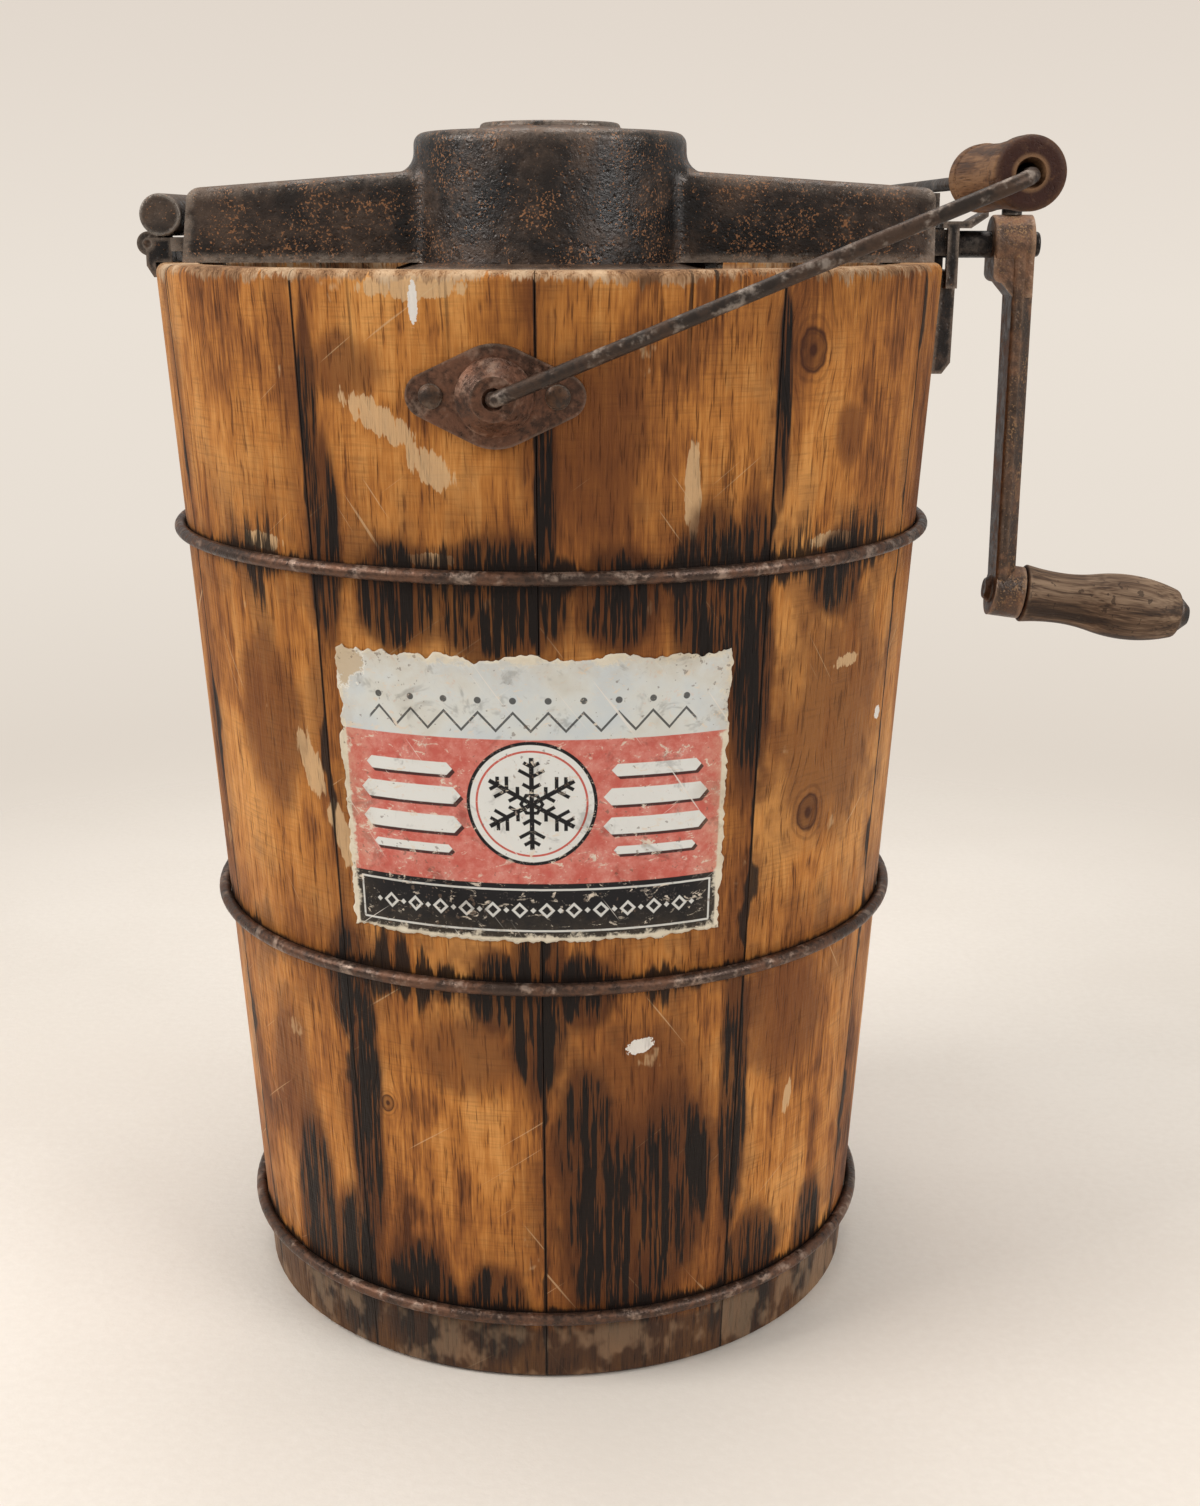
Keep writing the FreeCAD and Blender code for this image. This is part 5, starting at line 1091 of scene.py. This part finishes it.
        # The black foot with pin lines and a row of diamonds
        foot = y.step(self.foot_top, self.foot_top - 0.0002) * away.step(
            half - 0.0024, half - 0.0026)
        made.coat(foot, self.ink)
        pin = graph.most(
            *[abs(y - level).step(0.00042, 0.00028) for level in (self.foot_top - 0.0022, 0.0047)])
        pin = pin * away.step(half - 0.005, half - 0.0052)
        sides = abs(away - (half - 0.0052)).step(0.00042, 0.00028)
        sides = sides * (
            y.step(0.0045, 0.0047) * y.step(self.foot_top - 0.0018, self.foot_top - 0.002))
        cell = graph.math("PINGPONG", x, 0.0045)
        diamond = abs(cell - 0.0045) + abs(y - 0.012)
        row = diamond.step(0.0029, 0.0027) * away.step(half - 0.01, half - 0.011)
        row = row - diamond.step(0.0017, 0.0015) * row
        small = abs(cell) + abs(y - 0.012)
        row = graph.most(row, small.step(0.0011, 0.0009) * away.step(half - 0.01, half - 0.011))
        made.coat(graph.most(pin, sides, row) * 0.86, self.white)
        made.coat(garland * 0.85, self.ink)
        border = graph.most(away.step(half - 0.0032, half - 0.0024), y.step(0.0026, 0.0018))
        made.coat(border * y.step(self.field_top, self.field_top - 0.001), self.paper)
        # Wear: rubbed ink, yellowed and torn margins, scratches, dirt
        edge_far = graph.math("MINIMUM", half - away, graph.math("MINIMUM", self.height - y, y))
        rubbed = (fine * 0.45 + middle * 0.55).step(0.565, 0.645)
        rubbed = rubbed * broad.step(0.34, 0.6, 0.25, 0.85)
        above_foot = y.step(self.foot_top, self.foot_top + 0.001, 0.25, 1.0)
        rubbed = rubbed * above_foot
        made.coat(rubbed, (0.68, 0.56, 0.48))
        chipped = graph.noise(graph.join(x * 0.55, y, 7.0), 330.0, 4.0, 0.72, 0.8)
        chipped = chipped.step(0.6, 0.628) * middle.step(0.4, 0.58, 0.15, 0.9)
        made.coat(chipped, (0.74, 0.64, 0.52))
        blots = graph.noise(flat, 75.0, 4.0, 0.7, 0.6).step(0.55, 0.66, 0.0, 0.42)
        made.coat(blots, (0.28, 0.27, 0.27), "MULTIPLY")
        torn = (edge_far + (middle - 0.5) * 0.016).step(0.0036, 0.0014)
        made.coat(torn * 0.9, self.paper)
        corner = graph.math(
            "SQRT",
            graph.math("POWER", x + (half - 0.002), 2.0) + graph.math(
                "POWER", y - (self.height - 0.004), 2.0))
        corner = corner + (middle - 0.5) * 0.022
        made.coat(corner.step(0.0085, 0.007), (0.56, 0.45, 0.32))
        made.coat(abs(corner - 0.0085).step(0.001, 0.0), (0.8, 0.77, 0.7))
        scratch = graph.mask(
            effects.scratches, position=graph.join(x, 0.0, y), scale=620.0, amount=0.8)
        made.coat(scratch, (0.78, 0.73, 0.66))
        yellow = edge_far.step(0.016, 0.0) * middle.step(0.35, 0.6, 0.1, 0.6)
        made.coat(yellow * above_foot * 0.5, (0.5, 0.37, 0.22))
        dirt = graph.mask(effects.specks, position=flat, scale=420.0, amount=0.22)
        made.coat(dirt * 0.55, (0.16, 0.11, 0.08))
        grime = broad.step(0.5, 0.7, 0.0, 0.3)
        made.coat(grime, (0.50, 0.42, 0.33), "MULTIPLY")
        height = fine * 0.35 + middle * 0.5
        height = height - torn * 0.5
        return made.finish(middle.step(0.3, 0.7, 0.5, 0.72), graph.bump(height, 0.00022))


@dataclass(frozen=True)
class StudioGround:
    """The pale floor that fades into the backdrop."""

    name: str = "studio_floor"
    tone: Colour = (0.83, 0.775, 0.71)
    fade_start: float = 0.34
    fade_end: float = 0.90

    def material(self) -> bpy.types.Material:
        """Build the material, clear where it has faded."""
        made = Surface(self.name, 0.0, 0.2)
        graph = made.graph
        cloud = graph.noise(made.place, 3.0, 4.0, 0.6)
        fine = graph.noise(made.place, 260.0, 3.0, 0.6)
        mottle = cloud * 0.7 + fine * 0.3
        made.colour = graph.blend(
            mottle.step(0.35, 0.65), self.tone,
            (self.tone[0] * 0.94, self.tone[1] * 0.93, self.tone[2] * 0.92))
        made.finish(0.85, graph.bump(fine, 0.0002))
        far = graph.vector("LENGTH", made.place)
        shown = far.step(self.fade_end, self.fade_start)
        graph.feed(made.shader.inputs["Alpha"], shown)
        return made.material


Finish = CastIron | WornSteel | TinPlate | TurnedWood | TubWood


class Dresser:
    """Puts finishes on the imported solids."""

    def __init__(self, effects: Effects) -> None:
        """Keep the shared groups."""
        self.effects = effects
        self.made: dict[str, bpy.types.Material] = {}

    def dress(self, finish: Finish, *names: str) -> None:
        """Give solids a finish.

        Args:
            finish: The finish.
            names: The solids' names.
        """
        if finish.name not in self.made:
            self.made[finish.name] = finish.material(self.effects)
        for name in names:
            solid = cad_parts[name]
            solid.data.materials.clear()
            solid.data.materials.append(self.made[finish.name])
            log.info("dressed %s with %s", name, finish.name)


@dataclass
class Tub:
    """The staves, bottom boards and hoops."""

    dresser: Dresser
    staves: int = 11

    def build(self) -> None:
        """Dress the wood and the hoops."""
        self.dresser.dress(
            TubWood(staves=self.staves), *[f"stave_{n + 1:02d}" for n in range(self.staves)])
        boards = TurnedWood(
            "board_wood", start=(0.0, 0.0, 0.02), middle=(0.13, 0.085, 0.055),
            light=(0.27, 0.20, 0.14), relief=0.0005)
        self.dresser.dress(boards, "bottom_board_front", "bottom_board_middle", "bottom_board_rear")
        hoop = WornSteel(
            "hoop_wire", dark=(0.066, 0.042, 0.032), bright=(0.44, 0.33, 0.26),
            rust=(0.20, 0.095, 0.055), bright_share=0.62, rust_share=0.65, edge_share=0.0,
            relief=0.00034, smooth=0.26, rough=0.52)
        self.dresser.dress(hoop, "upper_hoop", "middle_hoop", "lower_hoop")


@dataclass
class FrontLabel:
    """The paper label, with torn edges and shallow wrinkles."""

    effects: Effects
    middle: float = -1.8
    sweep: float = 58.0
    low: float = 0.1700
    high: float = 0.2686
    skin: float = 0.00030
    paper: float = 0.00026
    columns: int = 150
    rows: int = 108

    def tear(self, run: float, seed: float) -> float:
        """How far an edge is torn back at a place along it.

        Args:
            run: Distance along the edge in metres.
            seed: Picks the edge.

        Returns:
            The tear in metres.
        """
        ragged = noise.fractal(Vector((run * 260.0, seed, 0.0)), 0.8, 2.2, 4)
        slow = noise.noise(Vector((run * 70.0, seed + 5.0, 0.0)))
        return max(0.0, 0.0009 + 0.0012 * ragged + 0.0016 * slow)

    def spot(self, u: float, v: float, depth: float) -> Vector:
        """A point of the sheet.

        Args:
            u: Share across, 0 to 1.
            v: Share up, 0 to 1.
            depth: Distance outside the wood.

        Returns:
            The point.
        """
        level = self.low + (self.high - self.low) * v
        bearing = math.radians(self.middle + self.sweep * (u - 0.5))
        radius = FOOT_RADIUS + TAPER * level + depth
        return Vector((radius * math.sin(bearing), -radius * math.cos(bearing), level))

    def build(self) -> bpy.types.Object:
        """Make the sheet.

        Returns:
            The label object.
        """
        width = math.radians(self.sweep) * (FOOT_RADIUS + TAPER * (self.low + self.high) / 2)
        height = self.high - self.low
        sheet = bmesh.new()
        layer = sheet.loops.layers.uv.new("print")
        grid, places = [], {}
        for row in range(self.rows + 1):
            line = []
            for column in range(self.columns + 1):
                v_even, u_even = row / self.rows, column / self.columns
                left = self.tear(v_even * height, 1.0) / width
                right = 1.0 - self.tear(v_even * height, 11.0) / width
                bottom = self.tear(u_even * width, 21.0) / height
                top = 1.0 - 1.5 * self.tear(u_even * width, 31.0) / height
                u = left + (right - left) * u_even
                v = bottom + (top - bottom) * v_even
                wave = noise.fractal(Vector((u * 9.0, v * 7.0, 3.0)), 0.7, 2.1, 3)
                crease = abs(noise.noise(Vector((u * 16.0 + v * 5.0, v * 4.0, 8.0))))
                lift = self.skin + 0.00005 * wave + 0.00010 * max(0.0, 0.2 - crease) / 0.2
                made = sheet.verts.new(self.spot(u, v, lift + self.paper / 2))
                places[made] = (u, v)
                line.append(made)
            grid.append(line)
        for row in range(self.rows):
            for column in range(self.columns):
                face = sheet.faces.new(
                    (
                        grid[row][column], grid[row][column + 1], grid[row + 1][column + 1],
                        grid[row + 1][column]))
                face.smooth = True
                for loop in face.loops:
                    loop[layer].uv = places[loop.vert]
        mesh = bpy.data.meshes.new("label_sheet")
        sheet.to_mesh(mesh)
        sheet.free()
        label = bpy.data.objects.new("label_sheet", mesh)
        bpy.context.scene.collection.objects.link(label)
        thick = label.modifiers.new("paper", "SOLIDIFY")
        thick.thickness = self.paper
        thick.offset = -1.0
        mesh.materials.append(PrintedPaper("label_print", width, height).material(self.effects))
        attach(label, Body.TUB.value)
        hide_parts("front_label")
        log.info("built label_sheet")
        return label


@dataclass
class Bail:
    """The ears, the wire and the wooden grip."""

    dresser: Dresser
    bar_x: float = 0.1414
    bar_z: float = 0.4121
    grip_shift: float = -0.104
    grip_half: float = 0.038

    def build(self) -> None:
        """Dress the ears, wire and grip."""
        ear = WornSteel(
            "ear_plate", dark=(0.075, 0.040, 0.027), bright=(0.50, 0.36, 0.27),
            rust=(0.21, 0.095, 0.055), bright_share=0.30, rust_share=0.8, edge_radius=0.0010,
            edge_share=0.22, relief=0.00034, smooth=0.24, rough=0.5)
        self.dresser.dress(ear, "front_bail_ear", "rear_bail_ear")
        rivet = WornSteel(
            "ear_rivet", dark=(0.050, 0.034, 0.026), bright=(0.32, 0.27, 0.22), bright_share=0.35)
        self.dresser.dress(rivet, "front_ear_rivets", "rear_ear_rivets")
        wire = WornSteel(
            "bail_steel", dark=(0.045, 0.034, 0.028), bright=(0.46, 0.39, 0.33),
            rust=(0.12, 0.066, 0.04), bright_share=0.55, rust_share=0.45, edge_share=0.0,
            smooth=0.32, rough=0.55)
        self.dresser.dress(wire, "bail_wire")
        grip = TurnedWood(
            "grip_wood", start=(self.bar_x, self.grip_shift, self.bar_z), heading=math.pi / 2,
            dark=(0.034, 0.015, 0.008), middle=(0.110, 0.050, 0.023), light=(0.235, 0.125, 0.062),
            low_end=-self.grip_half, high_end=self.grip_half, end_width=0.0016, bore=0.0046,
            streak=0.35)
        self.dresser.dress(grip, "bail_grip")


@dataclass
class GearHead:
    """The cast frame across the rim, its gears and the plate under them."""

    dresser: Dresser

    def build(self) -> None:
        """Dress the castings and gears."""
        self.dresser.dress(CastIron("frame_casting"), "gear_frame")
        greasy = CastIron(
            "greased_gears", dark=(0.018, 0.015, 0.012), brown=(0.05, 0.038, 0.028),
            speck_amount=0.1, grain_scale=900.0, relief=0.00012, bare=(0.34, 0.32, 0.29))
        self.dresser.dress(greasy, "gear_plate", "can_gear", "dasher_gear", "drive_pinion")
        screw = WornSteel("small_steel", bright_share=0.35)
        self.dresser.dress(
            screw, "gear_plate_screws", "pinion_pin", "step_bearing_screws", "keeper_screws",
            "latch_screws", "latch_pin")


@dataclass
class Crank:
    """The shaft, the arm and the wooden handle."""

    dresser: Dresser
    handle_start: Point = (0.17757, 0.0, 0.26297)
    droop: float = math.radians(7.8)
    length: float = 0.060

    def build(self) -> None:
        """Dress the crank."""
        shaft = WornSteel(
            "shaft_steel", dark=(0.016, 0.013, 0.012), bright=(0.22, 0.18, 0.15),
            rust=(0.05, 0.03, 0.02), bright_share=0.25, rust_share=0.4, smooth=0.2, rough=0.42)
        self.dresser.dress(shaft, "crank_shaft", "crank_set_screw")
        arm = CastIron(
            "crank_iron", dark=(0.046, 0.028, 0.019), brown=(0.112, 0.058, 0.034),
            rust=(0.30, 0.17, 0.08), bare=(0.36, 0.22, 0.135), speck_amount=0.29,
            edge_radius=0.0020, edge_share=0.70, haze=(0.24, 0.115, 0.058), haze_share=0.72,
            smooth=0.30, rough=0.55)
        self.dresser.dress(arm, "crank_arm")
        handle = TurnedWood(
            "handle_wood", start=self.handle_start, droop=self.droop, low_end=0.0,
            high_end=self.length, end_width=0.0008)
        self.dresser.dress(handle, "crank_handle")
        rivet = WornSteel(
            "handle_rivet", dark=(0.05, 0.04, 0.034), bright=(0.30, 0.26, 0.23), bright_share=0.4)
        self.dresser.dress(rivet, "handle_pin")


@dataclass
class CanAndDasher:
    """The turning can and what turns inside it."""

    dresser: Dresser

    def build(self) -> None:
        """Dress the can, its bearing and the dasher."""
        tin = TinPlate("tinned_sheet")
        self.dresser.dress(tin, "can_shell", "can_lid", "can_pivot", "step_bearing")
        dasher = TinPlate(
            "dasher_metal", light=(0.40, 0.39, 0.37), dull=(0.20, 0.19, 0.175), rust_share=0.3)
        self.dresser.dress(dasher, "dasher_stem", "dasher_cage", "dasher_paddles", "scraper_pins")
        scraper = TurnedWood(
            "scraper_wood", start=(0.0, 0.0, 0.19), droop=-math.pi / 2, dark=(0.18, 0.11, 0.06),
            middle=(0.40, 0.28, 0.17), light=(0.56, 0.43, 0.29), streak=0.2)
        self.dresser.dress(scraper, "scraper_left", "scraper_right")


@dataclass
class Fittings:
    """The keeper on the right and the latch on the left."""

    dresser: Dresser

    def build(self) -> None:
        """Dress the fittings."""
        black = CastIron(
            "fitting_iron", dark=(0.014, 0.011, 0.010), brown=(0.045, 0.03, 0.022),
            speck_amount=0.15, bare=(0.26, 0.20, 0.155), edge_radius=0.0016)
        self.dresser.dress(black, "frame_keeper", "latch_base")
        barrel = CastIron(
            "latch_iron", dark=(0.035, 0.026, 0.021), brown=(0.085, 0.058, 0.042), speck_amount=0.2,
            bare=(0.33, 0.29, 0.25), edge_radius=0.0016, edge_share=0.9)
        self.dresser.dress(barrel, "latch_lever")


@dataclass(frozen=True)
class Lamp:
    """One soft square lamp: its place, what it points at, its side, its power and its colour."""

    name: str
    place: Point
    aim: Point
    side: float
    power: float
    colour: Colour

    def hang(self) -> None:
        """Hang the lamp in the scene."""
        data = bpy.data.lights.new(self.name, "AREA")
        data.shape = "SQUARE"
        data.size = self.side
        data.energy = self.power
        data.color = self.colour
        lamp = bpy.data.objects.new(self.name, data)
        lamp.location = self.place
        way = Vector(self.aim) - Vector(self.place)
        lamp.rotation_euler = way.to_track_quat("-Z", "Y").to_euler()
        bpy.context.scene.collection.objects.link(lamp)


@dataclass
class Studio:
    """The floor, the lamps, the world and the camera."""

    ground: StudioGround = StudioGround()
    floor_radius: float = 1.2
    floor_sides: int = 96
    floor_drop: float = 0.0002
    light_colour: Colour = (1.0, 0.975, 0.94)
    light_strength: float = 0.42
    backdrop: tuple[tuple[float, Colour], ...] = (
        (0.00, (0.651, 0.571, 0.497)), (0.26, (0.738, 0.665, 0.584)), (0.48, (0.807, 0.738, 0.658)),
        (0.72, (0.823, 0.753, 0.672)), (1.00, (0.761, 0.686, 0.610)))
    camera_place: Point = (0.0177415, -0.713565, 0.398391)
    camera_tilt: float = math.pi / 2 - 0.271338
    lens: float = 45.587
    sensor: float = 36.0
    clip_start: float = 0.01
    lamps: tuple[Lamp, ...] = (
        Lamp("key_lamp", (-1.50, -0.55, 1.30), (0.0, 0.0, 0.2), 1.0, 24.0, (1.0, 0.975, 0.94)),
        Lamp("fill_lamp", (1.30, -1.00, 1.05), (0.0, 0.0, 0.2), 0.9, 15.0, (1.0, 0.985, 0.96)),
        Lamp("top_lamp", (0.0, 0.35, 1.80), (0.0, 0.0, 0.25), 1.2, 13.0, (1.0, 0.99, 0.97)))

    def floor(self) -> None:
        """Lay the floor."""
        plan = bmesh.new()
        bmesh.ops.create_circle(plan, cap_ends=True, segments=self.floor_sides,
                              radius=self.floor_radius)
        mesh = bpy.data.meshes.new("studio_floor")
        plan.to_mesh(mesh)
        plan.free()
        floor = bpy.data.objects.new("studio_floor", mesh)
        floor.location.z = -self.floor_drop
        bpy.context.scene.collection.objects.link(floor)
        mesh.materials.append(self.ground.material())

    def world(self) -> None:
        """Light from all round, with a pale backdrop behind."""
        world = bpy.data.worlds.new("studio")
        bpy.context.scene.world = world
        world.use_nodes = True
        graph = Graph(world.node_tree)
        out = world.node_tree.nodes["World Output"]
        light = world.node_tree.nodes["Background"]
        graph.feed(light.inputs["Color"], self.light_colour)
        graph.feed(light.inputs["Strength"], self.light_strength)
        way = graph.split(graph.read(graph.add("ShaderNodeTexCoord"), "Generated"))[2]
        tone = graph.ramp((way + 0.4) * 2.0, list(self.backdrop))
        back = graph.add("ShaderNodeBackground")
        graph.feed(back.inputs["Color"], tone)
        graph.feed(back.inputs["Strength"], 1.0)
        rays = graph.add("ShaderNodeLightPath")
        seen = graph.most(
            graph.read(rays, "Is Camera Ray"), graph.read(rays, "Is Transmission Ray"))
        mix = graph.add("ShaderNodeMixShader")
        for socket, value in zip(mix.inputs, (seen, graph.read(light), graph.read(back))):
            graph.feed(socket, value)
        graph.feed(out.inputs["Surface"], graph.read(mix))

    def camera(self) -> None:
        """Set the camera where the photograph was taken from."""
        data = bpy.data.cameras.new("camera")
        data.lens = self.lens
        data.sensor_width = self.sensor
        data.clip_start = self.clip_start
        camera = bpy.data.objects.new("camera", data)
        camera.location = self.camera_place
        camera.rotation_euler = (self.camera_tilt, 0.0, 0.0)
        bpy.context.scene.collection.objects.link(camera)
        bpy.context.scene.camera = camera

    def build(self) -> None:
        """Set up the studio."""
        bpy.context.scene.view_settings.view_transform = "Standard"
        self.camera()
        self.floor()
        self.world()
        for lamp in self.lamps:
            lamp.hang()


def main() -> None:
    """Build and dress everything."""
    logging.basicConfig(level=logging.INFO)
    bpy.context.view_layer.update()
    Studio().build()
    effects = Effects()
    dresser = Dresser(effects)
    Tub(dresser).build()
    FrontLabel(effects).build()
    Bail(dresser).build()
    GearHead(dresser).build()
    Crank(dresser).build()
    CanAndDasher(dresser).build()
    Fittings(dresser).build()


if __name__ == "__main__":
    main()
